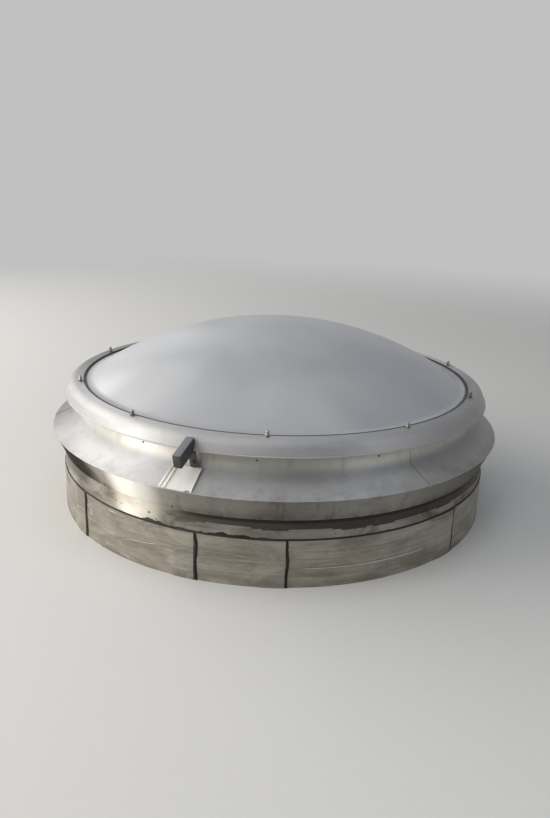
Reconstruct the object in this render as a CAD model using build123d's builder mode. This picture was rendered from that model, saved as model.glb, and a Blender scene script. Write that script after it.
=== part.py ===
"""Round double-skin roof skylight on an insulated, flared kerb.

Frame: origin at the centre of the kerb's foot, +Z up. Millimetres and degrees.
The bracket side faces -X and -Y. Azimuths run from +X towards +Y.
"""

import os
from math import atan2, ceil, cos, degrees, radians, sin

from build123d import *

os.makedirs("parts", exist_ok=True)

# Kerb walls and foot
clear_radius = 985.0
inner_wall_thickness = 2.0
core_depth = 128.5
outer_wall_thickness = 1.5
foot_flange = 40.0
foot_thickness = 6.0
fixing_hole_radius = 5.5
fixing_count = 12

# Heights of the kerb's bands, from the foot upwards
membrane_height = 222.0
bare_band_height = 94.0
skirt_height = 107.0
cone_height = 63.0
neck_height = 133.5

# Widths of the apron's neck and cone
neck_flare = 22.0
cone_width = 129.0
outer_wall_hidden = 30.0

# Membrane wrapped round the outer wall
membrane_thickness = 4.0
membrane_bond = 0.8
membrane_lap = 80.0
membrane_joggle = 12.0
seam_azimuths = (-162.6, -127.9, -107.6, -62.0, -22.0, 20.0, 62.0, 104.0, 150.0)
seam_bead_width = 14.0
seam_bead_wave = 2.0
seam_bead_pitch = 46.0
seam_bead_phase = 2.2
top_bead_height = 7.0

# Apron and skirt sheets
sheet_thickness = 1.2
sheet_bend = 6.0
sheet_lap = 45.0
sheet_lap_root = 4.0
apron_joint_azimuths = (-75.0, 45.0, 165.0)
skirt_top_flange = 22.0
skirt_wall_gap = 4.0
closing_piece_azimuth = -108.6
closing_piece_span = 10.6
long_skirt_pieces = 3
joint_gap = 1.0

# Sheet fasteners
neck_screw_count = 12
neck_screw_azimuth = -114.7
neck_screw_depth = 75.0
neck_screw_radius = 2.4
neck_screw_length = 25.0
skirt_screw_count = 18
skirt_screw_azimuth = -113.0
skirt_screw_rise = 15.0
skirt_screw_radius = 2.0
screw_head_radius = 5.0
screw_head_height = 3.0
screw_hole_clearance = 0.2
screw_hole_depth = 40.0

# Glazing stack, from the kerb's top upwards
top_ring_thickness = 6.0
lower_gasket_thickness = 4.0
inner_skin_thickness = 3.0
spacer_thickness = 10.0
outer_skin_thickness = 4.0
upper_gasket_thickness = 2.0
glazing_edge = 16.0
gasket_width = 32.0
dome_landing = 53.0
inner_dome_rise = 262.0
outer_dome_rise = 289.0
dome_foot_bend = 60.0

# Clamp ring
rim_thickness = 3.0
rim_cover = 15.0
rim_crown_width = 67.0
rim_drop = 60.0
rim_splay = 20.0
rim_bend = 47.0
rim_lip = 5.0
rim_lip_bend = 2.5

# Clamping bolts
bolt_count = 10
bolt_azimuth = -112.5
bolt_radius = 5.0
bolt_hole_clearance = 0.5
skin_hole_clearance = 1.0
bolt_head_width = 16.0
bolt_head_height = 6.4
neck_bolt_clearance = 1.0
wall_bolt_distance = 41.0
washer_radius = 12.0
washer_thickness = 4.0
washer_chamfer = 1.0
hexagon_turn = 30.0
cap_nut_base = 10.0
cap_nut_height = 25.0
cap_nut_engagement = 15.0
thread_clearance = 0.05

# Side bracket
bracket_azimuth = -129.4
bracket_tilt = 16.0
bracket_root_reach = 18.0
bracket_root_drop = 10.5
arm_length = 134.0
arm_height = 60.0
arm_width = 36.0
arm_wall = 3.0
leg_thickness = 6.0
leg_foot_clearance = 5.0
leg_corner = 9.0
leg_bolt_rise = 31.0
bracket_bolt_radius = 4.0
bracket_bolt_head = 13.0
bracket_bolt_head_height = 5.3
bracket_nut_height = 6.5
bolt_end = 2.0
bracket_ring_clearance = 1.0

# Plate under the bracket
plate_thickness = 2.0
plate_left_azimuth = -135.0
plate_right_margin = 34.0
plate_edge_setback = 3.0
plate_rib_height = 5.0
plate_rib_width = 7.0
plate_rib_pitch = 20.0
plate_rib_count = 2
plate_tab_margin = 14.0
plate_tab_width = 32.0
plate_notch = 12.0

# Gap between curved faces that lie on each other
lay_gap = 0.3

# Radii worked out from the clear opening outwards
inner_wall_radius = clear_radius + inner_wall_thickness
outer_wall_radius = inner_wall_radius + core_depth + outer_wall_thickness
bolt_circle_radius = inner_wall_radius + wall_bolt_distance
neck_top_radius = bolt_circle_radius - bolt_head_width / 2 - neck_bolt_clearance
kink_radius = neck_top_radius + neck_flare
cone_edge_radius = kink_radius + cone_width
glazing_radius = bolt_circle_radius + glazing_edge
rim_inner_radius = bolt_circle_radius - rim_cover
dome_spring_radius = bolt_circle_radius - dome_landing

# Heights worked out from the foot upwards
skirt_bottom = membrane_height + bare_band_height
cone_edge_height = skirt_bottom + skirt_height
kink_height = cone_edge_height + cone_height
kerb_height = kink_height + neck_height
top_ring_top = kerb_height + top_ring_thickness
inner_skin_bottom = top_ring_top + lower_gasket_thickness
spacer_bottom = inner_skin_bottom + inner_skin_thickness
outer_skin_bottom = spacer_bottom + spacer_thickness
upper_gasket_bottom = outer_skin_bottom + outer_skin_thickness
rim_bottom = upper_gasket_bottom + upper_gasket_thickness
rim_top = rim_bottom + rim_thickness

# Corners of the outer sheet line, as radius and height
neck_top = Vector(neck_top_radius, kerb_height - lay_gap)
kink = Vector(kink_radius, kink_height)
cone_edge = Vector(cone_edge_radius, cone_edge_height)
skirt_foot = Vector(outer_wall_radius + skirt_wall_gap + sheet_thickness, skirt_bottom)


def finish(part, name):
    """Label a finished piece and write it to its own file."""
    part.label = name
    export_step(part, f"parts/{name}.step")


def polar(radius, azimuth, height=0.0):
    """Point at a radius, an azimuth and a height."""
    return Vector(radius * cos(radians(azimuth)), radius * sin(radians(azimuth)), height)


def section_plane(azimuth):
    """Upright plane through the Z axis, with its x outwards and its y upwards."""
    return Plane(origin=(0, 0, 0), x_dir=polar(1, azimuth), z_dir=polar(1, azimuth - 90))


def spaced(count, first):
    """Azimuths of equally spaced copies."""
    return [first + turn * 360.0 / count for turn in range(count)]


def parallel(points, distance):
    """Broken line moved to the right of its direction by a distance, with mitred corners."""
    runs = [(end - start).normalized() for start, end in zip(points, points[1:])]
    sides = [Vector(run.Y, -run.X) for run in runs]
    moved = [points[0] + sides[0] * distance]
    for corner, before, after in zip(points[1:], sides, sides[1:]):
        mitre = before + after
        moved.append(corner + mitre * (distance / mitre.dot(before)))
    moved.append(points[-1] + sides[-1] * distance)
    return moved


def sheet_face(points, bend, thickness):
    """Section of a folded sheet: its outside follows the points, its thickness lies to their right."""
    with BuildSketch() as section:
        with BuildLine():
            outer = FilletPolyline(*points, radius=bend)
            inner = FilletPolyline(*parallel(points, thickness), radius=bend)
            Line(outer @ 0, inner @ 0)
            Line(outer @ 1, inner @ 1)
        make_face()
    return section.sketch


def skin_plane(upper, lower, along, azimuth):
    """Plane on a sloping skin, a distance down from its upper corner, with its normal outwards."""
    run = (lower - upper).normalized()
    spot = upper + run * along
    outwards = polar(-run.Y, azimuth, run.X)
    return Plane(origin=polar(spot.X, azimuth, spot.Y), x_dir=polar(1, azimuth + 90), z_dir=outwards)


def screw_holes(planes, radius, depth):
    """Drill a round hole from each plane inwards."""
    with Locations(*planes):
        Hole(radius, depth)


def bolt_holes(radius):
    """Drill the clamping bolts' holes right through the part."""
    with PolarLocations(bolt_circle_radius, bolt_count, bolt_azimuth):
        Hole(radius)


def flat_ring(inner, outer, bottom, top, hole_radius):
    """Flat ring with the clamping bolts' holes."""
    with BuildPart() as ring:
        with BuildSketch(Plane.XY.offset(bottom)):
            Circle(outer)
            Circle(inner, mode=Mode.SUBTRACT)
        extrude(amount=top - bottom)
        bolt_holes(hole_radius)
    return ring.part


def tube(inner, outer, bottom, top):
    """Upright round wall."""
    with BuildPart() as wall:
        with BuildSketch(Plane.XY.offset(bottom)):
            Circle(outer)
            Circle(inner, mode=Mode.SUBTRACT)
        extrude(amount=top - bottom)
    return wall.part


# Outer lines of the apron and of the skirt, which has a flange under the cone and a return to the wall
apron_line = [neck_top, kink, cone_edge]
cone_down = (cone_edge - kink).normalized()
skirt_top = cone_edge - cone_down * skirt_top_flange
skirt_line = parallel([skirt_top, cone_edge, skirt_foot], sheet_thickness + lay_gap)
skirt_line.append(Vector(outer_wall_radius + lay_gap, skirt_line[-1].Y))

# Screw places on the neck and on the skirt
neck_screw_planes = [
    skin_plane(neck_top, kink, neck_screw_depth, azimuth)
    for azimuth in spaced(neck_screw_count, neck_screw_azimuth)
]
skirt_run = skirt_line[2] - skirt_line[1]
skirt_slope = -skirt_run.X / skirt_run.Y
skirt_screw_planes = [
    skin_plane(skirt_line[1], skirt_line[2], skirt_run.length - skirt_screw_rise, azimuth)
    for azimuth in spaced(skirt_screw_count, skirt_screw_azimuth)
]
skirt_screw_reach = skirt_line[2].X - skirt_slope * skirt_screw_rise * skirt_run.Y / skirt_run.length
skirt_screw_length = (skirt_screw_reach - outer_wall_radius) * skirt_run.length / -skirt_run.Y

# Foot ring with the roof fixings' holes
with BuildPart() as foot_ring:
    with BuildSketch():
        Circle(outer_wall_radius)
        Circle(clear_radius - foot_flange, mode=Mode.SUBTRACT)
        with PolarLocations(clear_radius - foot_flange / 2, fixing_count):
            Circle(fixing_hole_radius, mode=Mode.SUBTRACT)
    extrude(amount=foot_thickness)
finish(foot_ring.part, "foot_ring")

# Inner wall, which carries the glazing
inner_wall = tube(clear_radius, inner_wall_radius, foot_thickness, kerb_height)
finish(inner_wall, "kerb_inner_wall")

# Outer wall, bare between the membrane and the skirt
with BuildPart() as outer_wall:
    with BuildSketch(Plane.XY.offset(foot_thickness)):
        Circle(outer_wall_radius)
        Circle(outer_wall_radius - outer_wall_thickness, mode=Mode.SUBTRACT)
    extrude(amount=skirt_bottom + outer_wall_hidden - foot_thickness)
    screw_holes(skirt_screw_planes, skirt_screw_radius + screw_hole_clearance, screw_hole_depth)
finish(outer_wall.part, "kerb_outer_wall")

# Insulation between the walls, packed as three stacked rings of rigid foam
core_setback = 2 * sheet_thickness + 2 * lay_gap
core_outside = parallel([neck_top, kink, cone_edge, skirt_foot], core_setback)
core_inner = inner_wall_radius + lay_gap
core_shelf = skirt_bottom + outer_wall_hidden + lay_gap
core_shelf_radius = core_outside[3].X + (core_shelf - core_outside[3].Y) * skirt_slope
core_outer = outer_wall_radius - outer_wall_thickness - lay_gap

finish(tube(core_inner, core_outer, foot_thickness, core_shelf), "core_lower")

with BuildPart() as core_middle:
    with BuildSketch(Plane.XZ):
        with BuildLine():
            Polyline(
                (core_inner, core_shelf),
                (core_shelf_radius, core_shelf),
                core_outside[2],
                core_outside[1],
                (core_inner, core_outside[1].Y),
                close=True,
            )
        make_face()
        fillet(vertices().sort_by(Axis.X)[-1], sheet_bend)
    revolve(axis=Axis.Z)
finish(core_middle.part, "core_middle")

with BuildPart() as core_upper:
    with BuildSketch(Plane.XZ):
        with BuildLine():
            Polyline(
                (core_inner, core_outside[1].Y),
                core_outside[1],
                core_outside[0],
                (core_inner, core_outside[0].Y),
                close=True,
            )
        make_face()
    revolve(axis=Axis.Z)
    screw_holes(neck_screw_planes, neck_screw_radius + screw_hole_clearance, screw_hole_depth)
finish(core_upper.part, "core_upper")

# Membrane sheets, each lapped over the next one
sheet_inner = outer_wall_radius + membrane_bond
sheet_outer = sheet_inner + membrane_thickness
lap_lift = membrane_thickness + membrane_bond
lap_angle = degrees(membrane_lap / sheet_outer)
joggle_angle = degrees(membrane_joggle / sheet_outer)


def membrane_sheet(start, end):
    """Foil-faced sheet that starts under its neighbour and ends on top of the next sheet."""
    first = start - lap_angle
    lap_start = end - lap_angle
    flat = lap_start - joggle_angle - first
    with BuildPart() as sheet:
        with BuildSketch():
            with BuildLine():
                inside = CenterArc((0, 0), sheet_inner, first, flat)
                inside_lap = CenterArc((0, 0), sheet_inner + lap_lift, lap_start, lap_angle)
                outside_lap = CenterArc((0, 0), sheet_outer + lap_lift, lap_start, lap_angle)
                outside = CenterArc((0, 0), sheet_outer, first, flat)
                Line(inside @ 1, inside_lap @ 0)
                Line(inside_lap @ 1, outside_lap @ 1)
                Line(outside_lap @ 0, outside @ 1)
                Line(outside @ 0, inside @ 0)
            make_face()
        extrude(amount=membrane_height)
    return sheet.part


seam_ends = seam_azimuths[1:] + (seam_azimuths[0] + 360.0,)
for number, (start, end) in enumerate(zip(seam_azimuths, seam_ends), 1):
    finish(membrane_sheet(start, end), f"membrane_sheet_{number}")

# Bitumen squeezed out along each lap, straight against the sheet's end and wavy on its free side
bead_inner = sheet_outer + lay_gap
bead_waves = ceil(membrane_height / seam_bead_pitch)
with BuildPart() as seam_beads:
    for number, seam in enumerate(seam_azimuths):
        bead_plane = Plane(origin=polar(bead_inner, seam), x_dir=polar(1, seam + 90), z_dir=polar(1, seam))
        free_side = [
            (
                seam_bead_width + seam_bead_wave * sin(seam_bead_phase * step + number),
                membrane_height * step / bead_waves,
            )
            for step in range(bead_waves + 1)
        ]
        with BuildSketch(bead_plane):
            with BuildLine():
                free_edge = Spline(*free_side)
                Polyline(free_edge @ 0, (lay_gap, 0), (lay_gap, membrane_height), free_edge @ 1)
            make_face()
        extrude(amount=membrane_thickness, both=True)
    with BuildSketch():
        Circle(bead_inner + membrane_thickness)
        Circle(bead_inner, mode=Mode.SUBTRACT)
    extrude(amount=membrane_height, mode=Mode.INTERSECT)
finish(seam_beads.part, "membrane_seam_beads")

# Bitumen along the membrane's upper edge
with BuildPart() as top_bead:
    with BuildSketch(Plane.XZ):
        with BuildLine():
            Polyline(
                (sheet_inner, membrane_height),
                (sheet_outer, membrane_height),
                (sheet_inner, membrane_height + top_bead_height),
                close=True,
            )
        make_face()
    revolve(axis=Axis.Z)
finish(top_bead.part, "membrane_top_bead")


# Apron of neck and cone, in lengths lapped over each other
apron_lap = degrees(sheet_lap / cone_edge_radius)
lap_root = degrees(sheet_lap_root / cone_edge_radius)
joint_angle = degrees(joint_gap / cone_edge_radius)


def apron_segment(start, end):
    """Apron length with a raised strip at its end that covers the next length."""
    lift = sheet_thickness + lay_gap
    raised = parallel(apron_line, -lift)
    under = parallel(raised, sheet_thickness)
    with BuildPart() as segment:
        with BuildSketch(section_plane(start + joint_angle)):
            add(sheet_face(apron_line, sheet_bend, sheet_thickness))
        revolve(axis=Axis.Z, revolution_arc=end - start - joint_angle)
        with BuildSketch(section_plane(end - lap_root)):
            add(sheet_face(raised, sheet_bend, sheet_thickness))
        revolve(axis=Axis.Z, revolution_arc=lap_root + apron_lap)
        with BuildSketch(section_plane(end - lap_root)):
            add(sheet_face(under, sheet_bend, lay_gap))
        revolve(axis=Axis.Z, revolution_arc=lap_root)
        screw_holes(neck_screw_planes, neck_screw_radius + screw_hole_clearance, screw_hole_depth)
    return segment.part


apron_ends = apron_joint_azimuths[1:] + (apron_joint_azimuths[0] + 360.0,)
for number, (start, end) in enumerate(zip(apron_joint_azimuths, apron_ends), 1):
    finish(apron_segment(start, end), f"apron_segment_{number}")

# Skirt under the apron's edge, in long lengths and a short closing piece
def skirt_segment(start, end):
    """One length of the skirt."""
    with BuildPart() as segment:
        with BuildSketch(section_plane(start)):
            add(sheet_face(skirt_line, sheet_thickness, sheet_thickness))
        revolve(axis=Axis.Z, revolution_arc=end - start)
        screw_holes(skirt_screw_planes, skirt_screw_radius + screw_hole_clearance, screw_hole_depth)
    return segment.part


closing_piece_end = closing_piece_azimuth + closing_piece_span
long_span = (360.0 - closing_piece_span) / long_skirt_pieces
long_starts = [closing_piece_end + long_span * turn for turn in range(long_skirt_pieces)]
skirt_starts = [closing_piece_azimuth] + long_starts
skirt_ends = long_starts + [closing_piece_azimuth + 360.0]
for number, (start, end) in enumerate(zip(skirt_starts, skirt_ends), 1):
    finish(skirt_segment(start + joint_angle, end), f"skirt_segment_{number}")

# Screws round the neck
with BuildPart() as neck_screws:
    for plane in neck_screw_planes:
        with BuildSketch(plane):
            Circle(screw_head_radius)
        extrude(amount=screw_head_height)
        with BuildSketch(plane):
            Circle(neck_screw_radius)
        extrude(amount=-neck_screw_length)
finish(neck_screws.part, "neck_screws")

# Screws through the skirt into the outer wall
with BuildPart() as skirt_screws:
    for plane in skirt_screw_planes:
        with BuildSketch(plane):
            Circle(screw_head_radius)
        extrude(amount=screw_head_height)
        with BuildSketch(plane):
            Circle(skirt_screw_radius)
        extrude(amount=-skirt_screw_length)
finish(skirt_screws.part, "skirt_screws")

# Glazing stack
bolt_hole_radius = bolt_radius + bolt_hole_clearance
skin_hole_radius = bolt_radius + skin_hole_clearance
top_ring_radius = glazing_radius + inner_wall_thickness
gasket_inner = glazing_radius - gasket_width
top_ring = flat_ring(clear_radius, top_ring_radius, kerb_height, top_ring_top, bolt_hole_radius)
lower_gasket = flat_ring(clear_radius, glazing_radius, top_ring_top, inner_skin_bottom, bolt_hole_radius)
spacer = flat_ring(gasket_inner, glazing_radius, spacer_bottom, outer_skin_bottom, bolt_hole_radius)
upper_gasket = flat_ring(rim_inner_radius, glazing_radius, upper_gasket_bottom, rim_bottom, bolt_hole_radius)
finish(top_ring, "top_ring")
finish(lower_gasket, "lower_gasket")
finish(spacer, "spacer_ring")
finish(upper_gasket, "upper_gasket")


def dome_skin(bottom, thickness, rise):
    """Shallow blown cap that runs through a hollow bend into a flat flange."""
    top = bottom + thickness
    sphere_radius = (dome_spring_radius**2 + rise**2) / (2 * rise)
    spring_angle = degrees(atan2(dome_spring_radius, sphere_radius - rise))
    centre = (0, top + rise - sphere_radius)
    inner_radius = sphere_radius - thickness
    drop = top + rise - sphere_radius - bottom
    inner_angle = degrees(atan2((inner_radius**2 - drop**2) ** 0.5, -drop))
    with BuildPart() as skin:
        with BuildSketch(Plane.XZ):
            with BuildLine():
                outside = CenterArc(centre, sphere_radius, 90, -spring_angle)
                inside = CenterArc(centre, inner_radius, 90, -inner_angle)
                Line(outside @ 0, inside @ 0)
                Polyline(outside @ 1, (glazing_radius, top), (glazing_radius, bottom), inside @ 1)
            make_face()
            bends = vertices().filter_by_position(
                Axis.X, dome_spring_radius - thickness * 2, dome_spring_radius + thickness * 2
            )
            fillet(bends.sort_by(Axis.Y)[-1], dome_foot_bend)
            bends = vertices().filter_by_position(
                Axis.X, dome_spring_radius - thickness * 2, dome_spring_radius + thickness * 2
            )
            fillet(bends.sort_by(Axis.Y)[0], dome_foot_bend + thickness)
        revolve(axis=Axis.Z)
        bolt_holes(skin_hole_radius)
    return skin.part


finish(dome_skin(inner_skin_bottom, inner_skin_thickness, inner_dome_rise), "inner_dome")
finish(dome_skin(outer_skin_bottom, outer_skin_thickness, outer_dome_rise), "outer_dome")

# Side bracket's frame: x along the arm, y square to it, z along its width
crown_edge = rim_inner_radius + rim_crown_width
bracket_root_radius = crown_edge + bracket_root_reach
bracket_root_height = rim_top - bracket_root_drop
bracket_root = polar(bracket_root_radius, bracket_azimuth, bracket_root_height)
arm_direction = polar(cos(radians(bracket_tilt)), bracket_azimuth, -sin(radians(bracket_tilt)))
bracket_frame = Plane(origin=bracket_root, x_dir=arm_direction, z_dir=polar(1, bracket_azimuth - 90))

# Tab of the plate behind the leg: its foot lies in the middle of the plate on the cone
plate_lift = 2 * sheet_thickness + 2 * lay_gap
plate_middle = parallel([kink, cone_edge], -plate_lift - plate_thickness / 2)[0]
cone_normal = Vector(-cone_down.Y, cone_down.X)
along_arm = Vector(cos(radians(bracket_tilt)), -sin(radians(bracket_tilt)))
up_leg = Vector(sin(radians(bracket_tilt)), cos(radians(bracket_tilt)))
tab_line = Vector(bracket_root_radius, bracket_root_height) - along_arm * (leg_thickness + plate_thickness / 2)
tab_drop = (tab_line - plate_middle).dot(cone_normal) / up_leg.dot(cone_normal)
tab_foot = tab_line - up_leg * tab_drop

# Leg, from the arm down to a little above the plate, with its bolt near its foot
leg_length = tab_drop - leg_foot_clearance
leg_bolt_drop = leg_length - leg_bolt_rise
leg_bolt_spot = bracket_frame.from_local_coords((0, -leg_bolt_drop, 0))
leg_bolt_plane = Plane(origin=leg_bolt_spot, x_dir=bracket_frame.z_dir, z_dir=arm_direction)

# Clamp ring with a rounded shoulder and an out-turned lip, notched round the bracket
rim_foot = Vector(crown_edge + rim_splay, rim_top - rim_drop)
rim_line = [Vector(rim_inner_radius, rim_top), Vector(crown_edge, rim_top), rim_foot]
lip_turn = Vector(rim_lip, -rim_lip_bend)
with BuildPart() as clamp_ring:
    with BuildSketch(Plane.XZ):
        add(sheet_face(rim_line, rim_bend, rim_thickness))
        with BuildLine():
            Polyline(
                parallel(rim_line, rim_thickness)[-1],
                rim_foot,
                rim_foot + lip_turn,
                rim_foot + lip_turn - Vector(0, rim_thickness),
                close=True,
            )
        make_face()
    revolve(axis=Axis.Z)
    bolt_holes(bolt_hole_radius)
    with BuildSketch(bracket_frame):
        with Locations((-leg_thickness - bracket_ring_clearance, bracket_ring_clearance)):
            Rectangle(arm_length, leg_length, align=(Align.MIN, Align.MAX))
    extrude(amount=arm_width / 2 + bracket_ring_clearance, both=True, mode=Mode.SUBTRACT)
finish(clamp_ring.part, "clamp_ring")

# Bolts that clamp the glazing stack, with their heads under the top ring
cap_nut_bottom = rim_top + washer_thickness
with BuildPart() as dome_bolts:
    with BuildSketch(Plane.XY.offset(kerb_height)):
        with PolarLocations(bolt_circle_radius, bolt_count, bolt_azimuth):
            RegularPolygon(bolt_head_width / 2, 6, major_radius=False, rotation=hexagon_turn)
    extrude(amount=-bolt_head_height)
    with BuildSketch(Plane.XY.offset(kerb_height)):
        with PolarLocations(bolt_circle_radius, bolt_count, bolt_azimuth):
            Circle(bolt_radius)
    extrude(amount=cap_nut_bottom + cap_nut_engagement - kerb_height)
finish(dome_bolts.part, "dome_bolts")

# Washers under the cap nuts
with BuildPart() as washers:
    with BuildSketch(Plane.XY.offset(rim_top)):
        with PolarLocations(bolt_circle_radius, bolt_count, bolt_azimuth):
            Circle(washer_radius)
            Circle(bolt_radius + bolt_hole_clearance, mode=Mode.SUBTRACT)
    extrude(amount=washer_thickness)
    upper_edges = washers.edges().filter_by(GeomType.CIRCLE).group_by(Axis.Z)[-1]
    chamfer(upper_edges.group_by(SortBy.RADIUS)[-1], washer_chamfer)
finish(washers.part, "sealing_washers")

# Domed cap nuts
with BuildPart() as cap_nuts:
    with BuildSketch(Plane.XY.offset(cap_nut_bottom)):
        with PolarLocations(bolt_circle_radius, bolt_count, bolt_azimuth):
            RegularPolygon(bolt_head_width / 2, 6, major_radius=False, rotation=hexagon_turn)
    extrude(amount=cap_nut_base)
    with BuildSketch(Plane.XY.offset(cap_nut_bottom)):
        with PolarLocations(bolt_circle_radius, bolt_count, bolt_azimuth):
            Circle(bolt_head_width / 2 - lay_gap)
    extrude(amount=cap_nut_height)
    fillet(cap_nuts.edges().group_by(Axis.Z)[-1], bolt_head_width / 2 - 2 * lay_gap)
    with BuildSketch(Plane.XY.offset(cap_nut_bottom)):
        with PolarLocations(bolt_circle_radius, bolt_count, bolt_azimuth):
            Circle(bolt_radius + thread_clearance)
    extrude(amount=cap_nut_engagement + lay_gap, mode=Mode.SUBTRACT)
finish(cap_nuts.part, "cap_nuts")

# Side bracket: a channel arm open below, with a flat leg at its root
with BuildPart() as bracket:
    with BuildSketch(bracket_frame):
        Rectangle(arm_length, arm_height, align=(Align.MIN, Align.MAX))
    extrude(amount=arm_width / 2, both=True)
    underside = bracket.faces().sort_by(Axis((0, 0, 0), bracket_frame.y_dir))[0]
    offset(amount=-arm_wall, openings=underside)
    with BuildSketch(bracket_frame):
        Rectangle(leg_thickness, leg_length, align=(Align.MAX, Align.MAX))
    extrude(amount=arm_width / 2, both=True)
    foot_edges = bracket.edges().filter_by(Axis((0, 0, 0), bracket_frame.x_dir))
    fillet(foot_edges.group_by(Axis((0, 0, 0), bracket_frame.y_dir))[0], leg_corner)
    with Locations(leg_bolt_plane):
        Hole(bracket_bolt_radius + bolt_hole_clearance, leg_thickness)
finish(bracket.part, "side_bracket")

# Plate on the cone: its tab stands behind the leg, and its upper edge lies at the tab's foot
plate_start = (tab_foot - plate_middle).dot(cone_down) - plate_thickness
plate_end = (cone_edge - kink).length - plate_edge_setback
plate_outer = parallel([kink, cone_edge], -plate_lift - plate_thickness)[0]
plate_line = [plate_outer + cone_down * plate_start, plate_outer + cone_down * plate_end]
plate_right_azimuth = bracket_azimuth + degrees(plate_right_margin / kink_radius)
rib_step = degrees(plate_rib_pitch / kink_radius)
rib_width = degrees(plate_rib_width / kink_radius)
edge_width = degrees(plate_thickness / kink_radius)
with BuildPart() as plate:
    with BuildSketch(section_plane(plate_left_azimuth)):
        with BuildLine():
            Polyline(*plate_line, *reversed(parallel(plate_line, plate_thickness)), close=True)
        make_face()
    revolve(axis=Axis.Z, revolution_arc=plate_right_azimuth - plate_left_azimuth)
    ribs = [(plate_left_azimuth + rib_step * number, rib_width) for number in range(plate_rib_count)]
    for azimuth, width in ribs + [(plate_right_azimuth - edge_width, edge_width)]:
        with BuildSketch(section_plane(azimuth)):
            with BuildLine():
                Polyline(*parallel(plate_line, -plate_rib_height), *reversed(plate_line), close=True)
            make_face()
        revolve(axis=Axis.Z, revolution_arc=width)
    with BuildSketch(bracket_frame):
        with Locations((-leg_thickness, -tab_drop)):
            Rectangle(
                plate_thickness, tab_drop - leg_bolt_drop + plate_tab_margin, align=(Align.MAX, Align.MIN)
            )
    extrude(amount=plate_tab_width / 2, both=True)
    with Locations(leg_bolt_plane.offset(-leg_thickness)):
        Hole(bracket_bolt_radius + bolt_hole_clearance, plate_thickness)
    with BuildSketch(skin_plane(plate_line[0], plate_line[1], plate_end - plate_start, plate_right_azimuth)):
        Rectangle(plate_notch * 2, plate_notch)
    extrude(amount=plate_rib_height * 2, both=True, mode=Mode.SUBTRACT)
finish(plate.part, "bracket_plate")

# Bolt and nut through the leg and the tab
with BuildPart() as bracket_bolt:
    with BuildSketch(leg_bolt_plane):
        RegularPolygon(bracket_bolt_head / 2, 6, major_radius=False)
    extrude(amount=bracket_bolt_head_height)
    with BuildSketch(leg_bolt_plane):
        Circle(bracket_bolt_radius)
    extrude(amount=-leg_thickness - plate_thickness - bracket_nut_height - bolt_end)
finish(bracket_bolt.part, "bracket_bolt")

with BuildPart() as bracket_nut:
    with BuildSketch(leg_bolt_plane.offset(-leg_thickness - plate_thickness)):
        RegularPolygon(bracket_bolt_head / 2, 6, major_radius=False)
        Circle(bracket_bolt_radius + thread_clearance, mode=Mode.SUBTRACT)
    extrude(amount=-bracket_nut_height)
finish(bracket_nut.part, "bracket_nut")
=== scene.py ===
"""Visual model of a round roof skylight on a flared, membrane-wrapped kerb.

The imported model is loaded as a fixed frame, in metres, with +Z up. Azimuths are in degrees, counted
from +X towards +Y. The side bracket faces -X and -Y.
"""

import logging
from dataclasses import dataclass, field
from enum import Enum
from math import acos, atan2, cos, degrees, pi, radians, sin, sqrt, tan
from random import Random
from typing import Iterable, Sequence, Union

import bmesh
import bpy
from mathutils import Matrix, Quaternion, Vector


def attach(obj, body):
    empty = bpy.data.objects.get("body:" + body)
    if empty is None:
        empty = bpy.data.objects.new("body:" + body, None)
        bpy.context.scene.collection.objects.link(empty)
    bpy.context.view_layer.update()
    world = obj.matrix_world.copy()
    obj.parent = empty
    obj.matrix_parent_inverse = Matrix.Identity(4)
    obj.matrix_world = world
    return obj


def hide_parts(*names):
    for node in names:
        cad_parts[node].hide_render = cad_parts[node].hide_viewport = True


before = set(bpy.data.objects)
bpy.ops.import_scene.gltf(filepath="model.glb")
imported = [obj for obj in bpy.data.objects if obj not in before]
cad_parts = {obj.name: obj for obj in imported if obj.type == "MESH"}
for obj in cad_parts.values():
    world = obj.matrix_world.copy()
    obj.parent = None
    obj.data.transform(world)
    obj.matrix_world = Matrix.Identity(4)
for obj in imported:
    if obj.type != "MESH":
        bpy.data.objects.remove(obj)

log = logging.getLogger("skylight")

Rgb = tuple[float, float, float]
Triple = tuple[float, float, float]
Number = Union[float, "Signal"]
Inputs = dict[Union[int, str], object]
Piece = bpy.types.Object

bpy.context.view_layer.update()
FULL_TURN = 360.0
FULL_TURN_STEPS = 288
HEXAGON = 6
WELD = 0.00002
UP = Vector((0.0, 0.0, 1.0))

# Texture space of every piece, which sets the direction of the rolling grain
TEXTURE_SIZE = (1.2, 1.2, 1.2)

# Share of a turn that stretches the highlights of rolled sheet upright
ACROSS_GRAIN = 0.25

# Painted shade and dark reflection at one side, and a painted highlight strip, that run over the skirt and
# the wall. Edges are cosines from their middle.
PAINTED_SHADE_AZIMUTH = -175.0
PAINTED_SHADE_TONE = (0.045, 0.040, 0.033)
PAINTED_SHADE_EDGE = (0.935, 0.975)
PAINTED_SHADE_STIR = 0.08
PAINTED_HIGHLIGHT_AZIMUTH = -143.0


# Node boards: shader networks written as expressions


class Ray(Enum):
    """Kinds of ray that the light path tells apart."""

    CAMERA = "Is Camera Ray"
    GLOSSY = "Is Glossy Ray"
    TRANSMISSION = "Is Transmission Ray"


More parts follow.
